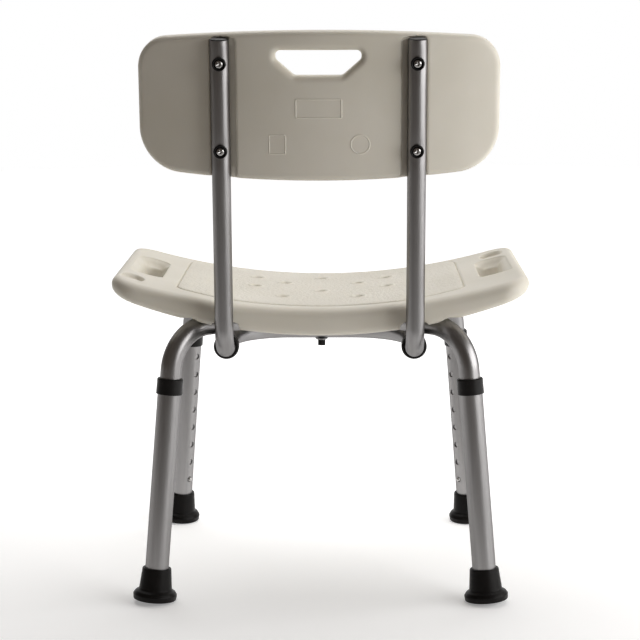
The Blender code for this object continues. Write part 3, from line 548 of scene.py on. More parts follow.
def skin(loops, rows, spacing):
    """Triangles over an outline with holes: loops first, then rows of points, then a grid."""
    fill = keep_clear(fill_grid(loops[0], spacing), list(loops) + rows, spacing * 0.7)
    loose = np.concatenate(rows + [fill]) if rows else fill
    inside = outside(loose, loops[0]) < -0.05 * MM
    for hole in loops[1:]:
        inside &= outside(loose, hole) > 0.05 * MM
    points = np.concatenate(list(loops) + [loose[inside]])
    firsts = np.cumsum([0] + [len(loop) for loop in loops])
    edges = []
    for first, loop in zip(firsts, loops):
        count = len(loop)
        edges += [(first + k, first + (k + 1) % count) for k in range(count)]
    flat, _, faces, origins, _, _ = delaunay_2d_cdt(
        [Vector(p) for p in points], edges, [], 0, 1e-6, True
    )
    flat = np.array(flat)
    number = {}
    for k, sources in enumerate(origins):
        for source in sources:
            number[source] = k
    faces = np.array(faces)
    middle = flat[faces].mean(axis=1)
    real = outside(middle, loops[0]) < -1e-6
    for hole in loops[1:]:
        real &= outside(middle, hole) > 1e-6
    rims = [[number[k] for k in range(a, b)] for a, b in zip(firsts, firsts[1:])]
    return flat, faces[real], rims


def drop_loose(verts, faces, *more):
    """The vertices that faces use, the faces renumbered, and the same rows of more arrays."""
    used = np.unique(np.concatenate([np.array(f) for f in faces]))
    number = np.full(len(verts), -1)
    number[used] = np.arange(len(used))
    faces = [tuple(int(number[v]) for v in f) for f in faces]
    return verts[used], faces, *[rows[used] for rows in more]


def moulding(loops, top_rows, under_rows, top, under, spacing=5 * MM):
    """The vertices and faces of a solid between two skins over the same outline and holes."""
    flat, faces, rims = skin(loops, top_rows, spacing)
    low_flat, low_faces, low_rims = skin(loops, under_rows, spacing)
    verts = np.concatenate([np.c_[flat, top(flat)], np.c_[low_flat, under(low_flat)]])
    shift = len(flat)
    all_faces = [tuple(f) for f in faces]
    all_faces += [tuple(int(i) + shift for i in f[::-1]) for f in low_faces]
    for rim, low_rim in zip(rims, low_rims):
        count = len(rim)
        for k in range(count):
            n = (k + 1) % count
            all_faces.append((rim[k], low_rim[k] + shift, low_rim[n] + shift, rim[n]))
    return drop_loose(verts, all_faces)


# ---- tubes

def fillet(before, corner, after, radius, steps):
    """The rounded corner of a path through three points."""
    into = (corner - before).normalized()
    out = (after - corner).normalized()
    turn = into.angle(out)
    reach = radius * tan(turn / 2)
    start = corner - into * reach
    normal = (out - into * out.dot(into)).normalized()
    return [
        start + into * radius * sin(turn * k / steps)
        + normal * radius * (1 - cos(turn * k / steps))
        for k in range(steps + 1)
    ]


def path_length(points):
    return sum((b - a).length for a, b in zip(points, points[1:]))


def grid_lines(low, high, step, marks):
    """Ordered places from low to high that include every mark and leave no gap above step."""
    fixed = sorted({round(m, 7) for m in marks if low < m < high} | {low, high})
    tidy = [fixed[0]]
    for value in fixed[1:]:
        if value - tidy[-1] > 0.15 * MM:
            tidy.append(value)
    tidy[-1] = high
    out = [tidy[0]]
    for a, b in zip(tidy, tidy[1:]):
        count = max(1, ceil((b - a) / step))
        out += [a + (b - a) * k / count for k in range(1, count + 1)]
    return np.array(out)


def hole_marks(centre, radius, lip):
    """Places on both sides of a hole's centre where the mesh needs a line."""
    shares = (0.0, 1 / 3, 2 / 3, 1.0)
    places = [s * radius for s in shares]
    places += [radius + lip, radius + 2.5 * lip, radius * HOLE_REACH]
    return [centre + sign * p for p in places for sign in (1, -1)]


def square_to_round(a, b, radius, lip):
    """Moves grid points so that square rings about a hole become circles."""
    big = np.maximum(np.abs(a), np.abs(b))
    small = np.minimum(np.abs(a), np.abs(b))
    angle = np.where(big > 0, small / np.maximum(big, 1e-9), 0.0) * pi / 4
    fade = np.clip((radius * HOLE_REACH - big) / (radius * (HOLE_REACH - 1) - lip), 0.0, 1.0)
    major = big * np.cos(angle)
    minor = big * np.sin(angle)
    wide = np.abs(a) >= np.abs(b)
    ra = np.sign(a) * np.where(wide, major, minor)
    rb = np.sign(b) * np.where(wide, minor, major)
    return a + (ra - a) * fade, b + (rb - b) * fade


def half_turn(angle):
    """The same angle within half a turn of 0."""
    return (angle + pi) % (2 * pi) - pi


def tube_mesh(name, points, up, radius, wall, holes=(), shape=None, step=30 * MM, sides=48):
    """A tube along a flat path. holes are (place along it, angle, hole radius); angle 0 looks
    along up, the normal of the path's plane, and a quarter turn on looks along tangent x up.
    shape(points, angles, lengths, normals) moves points after the tube is made."""
    path = np.array([tuple(p) for p in points])
    lengths = np.r_[0.0, np.cumsum(np.linalg.norm(np.diff(path, axis=0), axis=1))]
    total = lengths[-1]
    tangents = np.gradient(path, lengths, axis=0)
    tangents /= np.linalg.norm(tangents, axis=1)[:, None]
    lip = 0.35 * MM
    end = 0.4 * MM
    marks = list(lengths) + [end, total - end]
    turns = []
    for place, angle, hole_r in holes:
        marks += hole_marks(place, hole_r, lip)
        turns += [m / radius for m in hole_marks(angle * radius, hole_r, lip)]
    around = [2 * pi * k / sides for k in range(sides)]
    turns = [t % (2 * pi) for t in turns]
    near = 2 * pi / sides * 0.45
    spare = [t for t in around if all(abs(half_turn(t - u)) > near for u in turns)]
    thetas = np.array(sorted({round(t, 6) for t in spare + turns}))
    places = grid_lines(0.0, total, step, marks)
    theta, place = np.meshgrid(thetas, places, indexing="ij")
    across = theta * radius
    along = place.copy()
    gone = np.zeros((len(thetas), len(places) - 1), bool)
    drop = edge_drop(np.minimum(place, total - place), end)
    after = np.roll(thetas, -1)
    after[-1] += 2 * pi
    mid_theta = ((thetas + after) / 2)[:, None]
    mid_place = ((places[1:] + places[:-1]) / 2)[None, :]
    for hole_at, angle, hole_r in holes:
        a = half_turn(theta - angle) * radius
        b = place - hole_at
        near_hole = np.maximum(np.abs(a), np.abs(b)) < hole_r * HOLE_REACH
        ra, rb = square_to_round(a, b, hole_r, lip)
        across = np.where(near_hole, angle * radius + ra, across)
        along = np.where(near_hole, hole_at + rb, along)
        ring = np.maximum(np.abs(a), np.abs(b)) - hole_r
        drop = np.maximum(drop, np.where(near_hole, edge_drop(ring, lip), 0.0))
        ma = half_turn(mid_theta - angle) * radius
        gone |= (np.abs(ma) < hole_r) & (np.abs(mid_place - hole_at) < hole_r)

    up = np.array(up)
    flat = along.ravel()
    centre, ahead = (
        np.stack([np.interp(flat, lengths, column) for column in rows.T], axis=1)
        for rows in (path, tangents)
    )
    ahead /= np.linalg.norm(ahead, axis=1)[:, None]
    side = np.cross(ahead, up)
    side /= np.linalg.norm(side, axis=1)[:, None]
    turn = (across / radius).ravel()[:, None]
    out = np.cos(turn) * up + np.sin(turn) * side
    skins = []
    for r in ((radius - drop).ravel()[:, None], np.full((len(flat), 1), radius - wall)):
        pts = centre + out * r
        if shape is not None:
            pts = shape(pts, turn[:, 0], flat, r[:, 0])
        skins.append(pts)
    verts = np.concatenate(skins)
    uvs = np.tile(np.c_[(turn * radius).ravel(), flat], (2, 1))
    n_t, n_p = theta.shape
    shift = n_t * n_p
    faces = []
    for i in range(n_t):
        j = (i + 1) % n_t
        for k in range(n_p - 1):
            if gone[i, k]:
                continue
            a, b, c, d = i * n_p + k, j * n_p + k, j * n_p + k + 1, i * n_p + k + 1
            faces.append((a, b, c, d))
            faces.append((a + shift, d + shift, c + shift, b + shift))
            if k == 0 or gone[i, k - 1]:
                faces.append((a, a + shift, b + shift, b))
            if k == n_p - 2 or gone[i, k + 1]:
                faces.append((d, c, c + shift, d + shift))
            if gone[i - 1, k]:
                faces.append((a, d, d + shift, a + shift))
            if gone[j, k]:
                faces.append((b, b + shift, c + shift, c))
    verts, faces, uvs = drop_loose(verts, faces, uvs)
    return make_mesh(name, verts, faces, 40.0, uvs)


# ---- places on the legs

def leg_outward(signs):
    return Vector((signs[0] * cos(LEG_AZIMUTH), signs[1] * sin(LEG_AZIMUTH), 0))


def leg_up(signs):
    return Vector((0, 0, cos(LEG_LEAN))) - leg_outward(signs) * sin(LEG_LEAN)


def leg_point(signs, s):
    return leg_outward(signs) * FOOT_REACH + leg_up(signs) * s


def leg_inward(signs):
    return -(leg_outward(signs) * cos(LEG_LEAN) + Vector((0, 0, sin(LEG_LEAN))))


def leg_frame(signs, s=0.0):
    """Origin on the leg's axis, +z up the leg, +x towards the middle of the chair."""
    return frame_at(leg_point(signs, s), leg_inward(signs), leg_up(signs))


def back_corner(sign):
    """Where the level and the upright axis of a back tube meet."""
    return Vector((sign * BACK_X, BACK_CORNER_Y, RECEIVER_Z))


# ---- seat

def both_ways(*places):
    """0 and the given millimetres on both sides of it."""
    return np.array([-p for p in places[::-1]] + [0] + list(places)) * MM


def drain_places():
    for x, ys in DRAIN_COLUMNS:
        for y in ys:
            yield x, y
            if x:
                yield -x, y


def build_seat():
    outline = rounded_box(0, 0, SEAT_HALF_X, SEAT_HALF_Y, SEAT_CORNER)
    grips = [rounded_box(s * GRIP_X, 0, GRIP_HALF_X, GRIP_HALF_Y, GRIP_CORNER) for s in (1, -1)]
    drains = [rounded_box(x, y, DRAIN_R, DRAIN_R, DRAIN_R) for x, y in drain_places()]
    fine = 1.6 * MM
    loops = [trace(outline)] + [trace(g) for g in grips] + [trace(d, 0, fine) for d in drains]
    inset = rounded_polygon(INSET_CORNERS)
    inset_loop = trace(inset, 0, 2 * MM)
    rows = edge_rings(outline, SEAT_TOP_EDGE, -1, 8)
    for grip in grips:
        rows += edge_rings(grip, GRIP_LIP, 1, 3, (2.5 * MM,), fine)
    dishes = []
    for sign in (1, -1):
        dish = rounded_polygon([
            (sign * DISH_X + a * DISH_HALF_X, y, radius * MM) for a, y, radius in (
                (-1, DISH_FRONT, 19), (1, DISH_FRONT, 19), (1, DISH_REAR, 9), (-1, DISH_REAR, 9))
        ])
        dishes.append(trace(dish, 0, fine))
        rows += traces(dish, (0.5, 0, -0.5, -1.1, -1.8, -3, -5, -7), fine)
    for drain in drains:
        rows += traces(drain, (0.35, 0.7, 1.2, 2, 3, 4, 5, 6.5), fine)
    rows += traces(inset, (-2.2, -1, -0.5, 0, 0.5, 1, 2.2), 2 * MM, INSET_GROOVE)
    turn = np.linspace(0, 2 * pi, 40, endpoint=False)
    for thumb_x, thumb_y in THUMB_PLACES:
        for share in (0.3, 0.55, 0.72, 0.8, 0.86, 0.93, 1.0, 1.06):
            rows.append(np.c_[thumb_x + share * THUMB_HALF_X * np.cos(turn),
                              thumb_y + share * THUMB_HALF_Y * np.sin(turn)])

    def top(p):
        x = p[:, 0]
        z = SEAT_TOP_Z + SEAT_TOP_R - np.sqrt(SEAT_TOP_R ** 2 - x * x)
        z -= edge_drop(-outside(p, loops[0]), SEAT_TOP_EDGE)
        for loop in loops[1:3]:
            z -= edge_drop(outside(p, loop), GRIP_LIP)
        for dish in dishes:
            inset_by = np.maximum(-outside(p, dish), 0.0)
            z -= DISH_STEP * smooth_step(inset_by / (1.6 * MM))
            z -= DISH_FALL * np.clip(inset_by / DISH_REACH, 0.0, 1.2) ** 1.5
        for loop in loops[3:]:
            away = outside(p, loop)
            z -= edge_drop(away, DRAIN_LIP)
            z += bump_line(away - 3.6 * MM, 2 * MM, 0.9 * MM)
        for thumb_x, thumb_y in THUMB_PLACES:
            dx = (x - thumb_x) / THUMB_HALF_X
            dy = (p[:, 1] - thumb_y) / THUMB_HALF_Y
            fall = np.clip((1.0 - dy) / 2.0, 0.0, 1.0)
            z -= THUMB_DEEP * fall * smooth_step((1 - np.hypot(dx, dy)) * 4.4)
        from_inset = outside(p, inset_loop)
        z -= bump_line(from_inset, INSET_GROOVE, 1.8 * MM)
        z += np.clip(-from_inset / (2 * INSET_GROOVE), 0.0, 1.0) * INSET_PROUD
        return z

    roof = FRAME_Z + FRAME_OD / 2 + 0.6 * MM
    soft = TUNNEL_SHOULDER
    tunnel_rows = []
    spread = both_ways(8, 12, 14.5, 16, 16.7, 17.1)
    along = np.arange(-225, 226, 4.0) * MM
    for sign in (1, -1):
        direction = np.array((sign * cos(LEG_AZIMUTH), sin(LEG_AZIMUTH)))
        across = np.array((-direction[1], direction[0]))
        tunnel_rows += [along[:, None] * direction + a * across for a in spread]
    notch = both_ways(9, 12.5, 15, 16.6, 17.4, 17.8)
    reach = np.arange(97, 152, 3.0) * MM
    for sign in (1, -1):
        tunnel_rows += [np.c_[np.full(len(reach), sign * BACK_X + a), reach] for a in notch]

    def hollow(a, half_width, top_z):
        """The roof of a tunnel with round shoulders, and far below it outside."""
        over = np.clip(np.abs(a) - (half_width - soft), 0.0, soft)
        z = top_z - (soft - np.sqrt(np.maximum(soft * soft - over * over, 0.0)))
        return np.where(np.abs(a) < half_width, z, 0.0)

    def under(p):
        x, y = p[:, 0], p[:, 1]
        z = SEAT_UNDER_Z + SEAT_UNDER_R - np.sqrt(SEAT_UNDER_R ** 2 - x * x)
        z += edge_drop(-outside(p, loops[0]), SEAT_EDGE)
        for loop in loops[1:3]:
            z += edge_drop(outside(p, loop), 3 * MM)
        for sign in (1, -1):
            dx, dy = sign * cos(LEG_AZIMUTH), sin(LEG_AZIMUTH)
            far = np.abs(x * dx + y * dy)
            half = TUNNEL_HALF - TUNNEL_SPARE * smooth_step((far - CROSS_BLEND) / (20 * MM))
            tunnel_z = hollow(x * -dy + y * dx, half, roof)
            z = np.where(far < TUNNEL_REACH, np.maximum(z, tunnel_z), z)
            notch_z = hollow(x - sign * BACK_X, CHANNEL_HALF, NOTCH_ROOF_Z)
            z = np.where(y > NOTCH_FROM_Y, np.maximum(z, notch_z), z)
        return np.where(np.hypot(x, y) < POCKET_R, np.maximum(z, POCKET_ROOF_Z), z)

    under_rows = edge_rings(outline, SEAT_EDGE, -1, 4) + tunnel_rows
    for grip in grips:
        under_rows += edge_rings(grip, 3 * MM, 1, 3, (2.5 * MM,))
    verts, faces = moulding(loops, rows, under_rows, top, under)
    mesh = make_mesh("seat_shell", verts, faces, 50.0)
    add_piece("seat_shell", mesh, IVORY, "frame", "seat_panel")
    mesh.materials.append(PEBBLED)
    middles = np.array([tuple(face.center) for face in mesh.polygons])
    upward = np.array([face.normal.z for face in mesh.polygons])
    inner = (outside(middles[:, :2], inset_loop) < -INSET_GROOVE) & (upward > 0.8)
    for drain in loops[3:]:
        inner &= outside(middles[:, :2], drain) > 5.6 * MM
    mesh.polygons.foreach_set("material_index", inner.astype(np.int32))


# ---- backrest

def bowed_outline():
    """The backrest seen square on, in x and z: bowed top and bottom, rounder corners below."""
    quarter = pi / 2
    arcs = []
    for way, edge, bow, radius in ((1, REST_TOP, REST_TOP_BOW, REST_TOP_CORNER),
                                   (-1, REST_BOTTOM, REST_BOTTOM_BOW, REST_BOTTOM_CORNER)):
        x = REST_HALF_X - radius
        middle = edge - way * bow
        z = middle + way * sqrt((bow - radius) ** 2 - x ** 2)
        lean = asin(x / (bow - radius))
        first = (1 - way) * quarter
        start = first + quarter - lean
        end = first + quarter + lean
        arcs.append((way * x, z, radius, first, start))
        arcs.append((0, middle, bow, start, end))
        arcs.append((-way * x, z, radius, end, first + 2 * quarter))
    return arcs


def channel_outline(sign):
    """The shelf beside a back tube: wide on the inner side, close to the tube on the outer."""
    inner = sign * (BACK_X - CHANNEL_INNER)
    outer = sign * (BACK_X + CHANNEL_OUTER)
    low, high = sorted((inner, outer))
    return rounded_polygon([
        (high, CHANNEL_TOP, 6 * MM), (low, CHANNEL_TOP, 6 * MM),
        (low, CHANNEL_LOW, 2 * MM), (high, CHANNEL_LOW, 2 * MM),
    ])


def build_backrest():
    outline = bowed_outline()
    grip = rounded_polygon(REST_GRIP)
    loops = [trace(outline), trace(grip, 0, 2 * MM)]
    rear_lip = 8 * MM
    front_lip = 6 * MM
    marks = [(rounded_box(*row[:5]), row[5], row[6]) for row in REST_MARKS]
    mark_loops = [trace(m, 0, 1 * MM) for m, _, _ in marks]
    shelf = 3.2 * MM
    lip = 1.6 * MM
    hug = BACK_OD / 2 + 0.4 * MM
    channels = [channel_outline(s) for s in (1, -1)]
    channel_loops = [trace(c, 0, 2.5 * MM) for c in channels]

    def rear_y(x, inset=0.0):
        reach = REST_CURVE - inset
        return REST_REAR_Y - REST_CURVE + np.sqrt(reach * reach - x * x)

    def rear(p):
        x = p[:, 0]
        y = rear_y(x) - edge_drop(-outside(p, loops[0]), REST_EDGE)
        y -= edge_drop(outside(p, loops[1]), rear_lip)
        for loop, (_, half, height) in zip(mark_loops, marks):
            y += bump_line(outside(p, loop), half, height)
        for sign, loop in zip((1, -1), channel_loops):
            away = outside(p, loop)
            y -= np.where(away > 0, edge_drop(away, lip), 0.0)
            y -= lip * np.clip(-away / (0.4 * MM), 0.0, 1.0) * (away < 0)
            y -= (shelf - lip) * smooth_step(-away / (2.2 * MM))
            across = x - sign * BACK_X
            groove = -np.sqrt(np.maximum(hug * hug - across * across, 0.0))
            y = np.where((away < 0) & (groove < y), groove, y)
        return -y

    def front(p):
        y = rear_y(p[:, 0], REST_THICK) + edge_drop(-outside(p, loops[0]), REST_EDGE)
        y += edge_drop(outside(p, loops[1]), front_lip)
        return -y

    front_rows = edge_rings(outline, REST_EDGE, -1, 5) + edge_rings(grip, front_lip, 1, 5)
    rear_rows = edge_rings(outline, REST_EDGE, -1, 5)
    rear_rows += edge_rings(grip, rear_lip, 1, 6, (3 * MM,), 2 * MM)
    for mark, half, _ in marks:
        rear_rows += traces(mark, (-4, -2, -1, -0.5, 0, 0.5, 1, 2), 1 * MM, half)
    heights = np.arange(REST_BOTTOM - 2 * MM, CHANNEL_TOP - 2 * MM, 4 * MM)
    for sign, channel in zip((1, -1), channels):
        flank = (-2.2, -1.4, -0.8, -0.4, -0.02, 0.3, 0.8, 1.6, 3.5)
        rear_rows += traces(channel, flank, 2.5 * MM)
        for a in both_ways(3, 6, 8, 9.2, 10.2):
            rear_rows.append(np.c_[np.full(len(heights), sign * BACK_X + a), heights])
    verts, faces = moulding(loops, front_rows, rear_rows, front, rear)
    place = (
        Matrix.Translation((0, BACK_CORNER_Y, RECEIVER_Z))
        @ Matrix.Rotation(-BACK_LEAN, 4, "X")
        @ Matrix.Translation((0, 0, -RECEIVER_Z))
    )
    upright = np.c_[verts[:, 0], -verts[:, 2], verts[:, 1]]
    mesh = make_mesh("backrest_shell", upright, faces, 50.0)
    add_piece("backrest_shell", mesh, IVORY, "backrest", "backrest_panel", place=place)


# ---- frame

def build_frame_tube(name, signs, shift):
    far = (-signs[0], -signs[1])
    along = leg_outward(signs)
    level = Vector((0, 0, FRAME_Z))
    corner = along * CORNER_REACH + level
    opposite = -along * CORNER_REACH + level
    start = leg_point(signs, FRAME_END_S)
    finish = leg_point(far, FRAME_END_S)
    stations = [along * (d * MM) + level for d in CROSS_STATIONS]
    points = (
        [start]
        + fillet(start, corner, level, FRAME_BEND, 20)
        + stations
        + fillet(level, opposite, finish, FRAME_BEND, 20)
        + [finish]
    )
    across = np.array(tuple(Vector((0, 0, 1)).cross(along)))
    forward = np.array(along)

    def press(pts, _turn, _length, radius):
        """Presses the tube flat around the middle of the chair."""
        reach = np.abs(pts @ forward)
        share = smooth_step((CROSS_BLEND - reach) / (CROSS_BLEND - CROSS_FLAT))
        share = np.where(pts[:, 2] < FRAME_Z - FRAME_OD, 0.0, share)
        squash = 1 - (1 - CROSS_SQUASH) * share
        thin = radius < FRAME_OD / 2 - 0.9 * TUBE_WALL
        half = FRAME_OD / 2
        squash = np.where(thin, (half * squash - TUBE_WALL) / (half - TUBE_WALL), squash)
        out = pts + across * ((pts @ across) * CROSS_WIDEN * share)[:, None]
        out[:, 2] = FRAME_Z + (pts[:, 2] - FRAME_Z) * squash + shift * share
        return out

    from_end = FIRST_HOLE_S - FRAME_END_S
    total = path_length(points)
    holes = [(from_end, pi / 2, LEG_HOLE_R), (total - from_end, pi / 2, LEG_HOLE_R)]
    mesh = tube_mesh(name, points, across, FRAME_OD / 2, TUBE_WALL, holes, press)
    add_piece(name + "_drawn", mesh, ANODISED, "frame", name)


def build_leg_mesh():
    axis = [Vector((0, 0, s)) for s in (LEG_BOTTOM_S, LEG_TOP_S)]
    holes = [
        (FIRST_HOLE_S + k * HOLE_PITCH - LEG_BOTTOM_S, pi, LEG_HOLE_R)
        for k in range(HOLE_COUNT)
    ]
    return tube_mesh("leg_tube", axis, (-1, 0, 0), LEG_OD / 2, TUBE_WALL, holes)


def mouth_ring(name, outside_part, low, outer_od, inner_od, radii):
    """A black ring: a skirt round the outer tube and a lip over its end, near the inner tube."""
    skirt = outer_od / 2 + 0.05 * MM
    inner = inner_od / 2 + 0.4 * MM
    profile = outside_part + [(skirt, low), (skirt, -LIP), (inner, -LIP), (inner, 0)]
    return turned(name, soften(profile, radii))


def build_collar_mesh():
    low = COLLAR_BOTTOM_S - COLLAR_TOP_S
    outer = [
        (COLLAR_R - 1.3 * MM, 0), (COLLAR_R - 0.1 * MM, -1.6 * MM),
        (COLLAR_R - 0.25 * MM, -5 * MM), (COLLAR_R, low + 1.2 * MM), (COLLAR_R, low),
    ]
    radii = {0: 0.7 * MM, 1: 0.8 * MM, 4: 0.7 * MM, 8: 0.5 * MM}
    return mouth_ring("collar", outer, low, LEG_OD, FRAME_OD, radii)


def build_foot_mesh():
    """Square to the leg all through, so that it stands on its inner edge."""
    bore = LEG_OD / 2 + 0.1 * MM
    floor = LEG_BOTTOM_S - 2.1 * MM
    bottom = FOOT_BASE_R * tan(LEG_LEAN)
    flange = FOOT_BASE_H
    base = FOOT_BASE_R - 0.2 * MM
    dished = bottom + 0.8 * MM
    profile = [
        (0.0, floor), (bore, floor), (bore, FOOT_CUFF_TOP_S), (bore + 3.2 * MM, FOOT_CUFF_TOP_S),
        (bore + 5.8 * MM, flange + 3 * MM), (base - 2.5 * MM, flange + 0.6 * MM),
        (base, flange - 3 * MM), (base - 0.6 * MM, bottom), (base - 5 * MM, bottom),
        (base - 6 * MM, dished), (base - 12 * MM, dished),
        (base - 13 * MM, bottom), (0.0, bottom),
    ]
    radii = {2: 0.8 * MM, 3: 1.4 * MM, 4: 2.6 * MM, 5: 1.8 * MM, 6: 2.2 * MM, 7: 1.4 * MM}
    return turned("foot", soften(profile, radii), 56)


def build_button_mesh(name, tip, tube_od):
    """A snap button whose flange lies inside the bore of the tube that it is fitted in."""
    bore = tube_od / 2 - TUBE_WALL
    root = sqrt(bore ** 2 - BUTTON_FLANGE_R ** 2) - 0.3 * MM - BUTTON_FLANGE
    dome = BUTTON_R * 0.85
    profile = [(0.0, tip)]
    for a in np.radians(np.arange(80, -1, -10)):
        profile.append((BUTTON_R * cos(a), tip - dome + dome * sin(a)))
    profile += [
        (BUTTON_R, root + BUTTON_FLANGE), (BUTTON_FLANGE_R, root + BUTTON_FLANGE),
        (BUTTON_FLANGE_R, root), (0.0, root),
    ]
    return turned(name, profile, 32)


def build_legs():
    tube = build_leg_mesh()
    collar = build_collar_mesh()
    foot = build_foot_mesh()
    button = build_button_mesh("leg_button_pin", LEG_OD / 2 + BUTTON_PROUD, FRAME_OD)
    for name, signs in LEGS.items():
        body = f"leg_{name}"
        place = leg_frame(signs)
        add_piece(f"leg_tube_{name}", tube, ANODISED, body, body, place=place)
        add_piece(f"leg_collar_{name}", collar, BLACK, body, f"collar_{name}",
                  place=leg_frame(signs, COLLAR_TOP_S))
        add_piece(f"rubber_foot_{name}", foot, RUBBER, body, f"foot_{name}", place=place)
        place = facing(leg_point(signs, FIRST_HOLE_S), leg_inward(signs))
        body = f"leg_button_{name}"
        add_piece(f"snap_pin_{name}", button, CHROME, body, body, place=place)


# ---- receiver and back

def build_receiver():
    end = BUSH_FACE_Y - LIP - 0.3 * MM
    plan = ((-BACK_X, end), (-BACK_X, 0), (0, 0), (BACK_X, 0), (BACK_X, end))
    right, right_corner, middle, left_corner, left = [Vector((*p, RECEIVER_Z)) for p in plan]
    points = [right] + fillet(right, right_corner, middle, RECEIVER_BEND, 24)
    points += fillet(middle, left_corner, left, RECEIVER_BEND, 24) + [left]
    total = path_length(points)
    from_end = end - BACK_BUTTON_Y
    holes = [(from_end, pi, LEG_HOLE_R), (total - from_end, pi, LEG_HOLE_R)]
    mesh = tube_mesh("receiver_tube", points, (0, 0, 1), RECEIVER_OD / 2, 1 * MM, holes)
    add_piece("receiver_tube", mesh, ANODISED, "frame", "back_receiver")
    outer = [(BUSH_R - 1.5 * MM, 0), (BUSH_R, -1.6 * MM), (BUSH_R, -BUSH_LENGTH)]
    radii = {0: 0.8 * MM, 1: 0.9 * MM, 2: 0.5 * MM, 6: 0.5 * MM}
    bush = mouth_ring("bush", outer, -BUSH_LENGTH, RECEIVER_OD, BACK_OD, radii)
    for side, sign in SIDES.items():
        mouth = facing((sign * BACK_X, BUSH_FACE_Y, RECEIVER_Z), (0, 1, 0))
        add_piece(f"mouth_bush_{side}", bush, BLACK, "frame", f"receiver_bush_{side}", place=mouth)


def build_back_tubes():
    inner_end = BUSH_FACE_Y - STUB_LENGTH
    for side, sign in SIDES.items():
        start = Vector((sign * BACK_X, inner_end, RECEIVER_Z))
        corner = back_corner(sign)
        finish = corner + BACK_UP * BACK_TOP
        points = [start] + fillet(start, corner, finish, BACK_BEND, 24) + [finish]
        total = path_length(points)
        screws = [total - drop for drop in SCREW_DROPS]

        def dent(pts, _turn, length, _radius, screws=screws, total=total, finish=finish):
            """The rear wall is drawn in a little round each screw."""
            out = pts.copy()
            rearward = np.array(REARWARD)
            for at in screws:
                away = pts - np.array(tuple(finish - BACK_UP * (total - at)))
                rear = away @ rearward
                fall = np.exp(-((length - at) / (10 * MM)) ** 4)
                push = np.where(rear > 0, fall * DENT * rear / (BACK_OD / 2), 0.0)
                out -= push[:, None] * rearward
                spread = np.sign(away[:, 0]) * fall * DENT_SPREAD * (np.abs(away[:, 0]) > 2 * MM)
                out[:, 0] += np.where(rear > 0, spread, 0.0)
            return out

        hole = [(BACK_BUTTON_Y - inner_end, 1.5 * pi, LEG_HOLE_R)]
        mesh = tube_mesh(f"back_post_{side}", points, (-1, 0, 0), BACK_OD / 2, TUBE_WALL, hole,
                         dent, 12 * MM)
        add_piece(f"back_post_{side}", mesh, ANODISED, "backrest", f"back_tube_{side}")


def build_cup_mesh():
    """A cup washer whose lower rim lies on the round tube; the tube runs along the cup's y."""
    tube_r = BACK_OD / 2
    profile = [(r, tube_r + height) for r, height in CUP_PROFILE]
    mesh = turned("screw_cup", soften(profile, {3: 0.3 * MM, 4: 0.5 * MM, 5: 0.6 * MM}), 40)
    for vert in mesh.vertices:
        if vert.co.z < tube_r + CUP_PROFILE[0][1] + 0.01 * MM:
            vert.co.z = sqrt(max(tube_r ** 2 - vert.co.x ** 2, 0.0)) - 1.4 * MM
    return mesh


def head_height(x, y):
    """The domed screw head with its cross recess, all in mm."""
    dome = HEAD_TALL * sqrt(max(1 - (hypot(x, y) / HEAD_DOME_R) ** 2.6, 0.0))
    arm = min(abs(x), abs(y))
    length = max(abs(x), abs(y))
    if length < RECESS_REACH and arm < RECESS_HALF:
        return dome - RECESS_DEEP * (1 - length / 3.0) * min(1.0, (RECESS_HALF - arm) / 0.2)
    return dome


def build_screw_mesh():
    """A pan head on its shank; its cross is turned 20 degrees."""
    head = BACK_OD / 2 + HEAD_ABOVE_TUBE
    steps = 72
    spin = radians(20)
    turns = [2 * pi * k / steps for k in range(steps)]
    rows = [(r, None) for r in HEAD_RINGS]
    rows += [(HEAD_R, head - 0.1 * MM), (SHANK_R, head - 0.1 * MM), (SHANK_R, SHANK_END)]
    verts = [(0.0, 0.0, head + (HEAD_TALL - RECESS_DEEP) * MM)]
    rings = [[0]]
    for r, level in rows:
        rings.append(list(range(len(verts), len(verts) + steps)))
        for t in turns:
            z = level
            if level is None:
                z = head + head_height(r * cos(t), r * sin(t)) * MM
            verts.append((r * MM * cos(t + spin), r * MM * sin(t + spin), z))
    rings.append([len(verts)])
    verts.append((0.0, 0.0, SHANK_TIP))
    uvs = [(v[0], v[1]) for v in verts]
    return make_mesh("pan_screw", verts, ring_faces(rings), 30.0, uvs)


def build_screws():
    cup = build_cup_mesh()
    screw = build_screw_mesh()
    for side, sign in SIDES.items():
        for row, drop in zip(("upper", "lower"), SCREW_DROPS):
            origin = back_corner(sign) + BACK_UP * (BACK_TOP - drop)
            place = frame_at(origin, Vector((1, 0, 0)), REARWARD)
            name = f"{side}_{row}"
            add_piece(f"screw_cup_{name}", cup, BLACK, "backrest", f"cup_washer_{name}",
                      place=place)
            add_piece(f"pan_screw_{name}", screw, CHROME, "backrest", f"back_screw_{name}",
                      place=place)


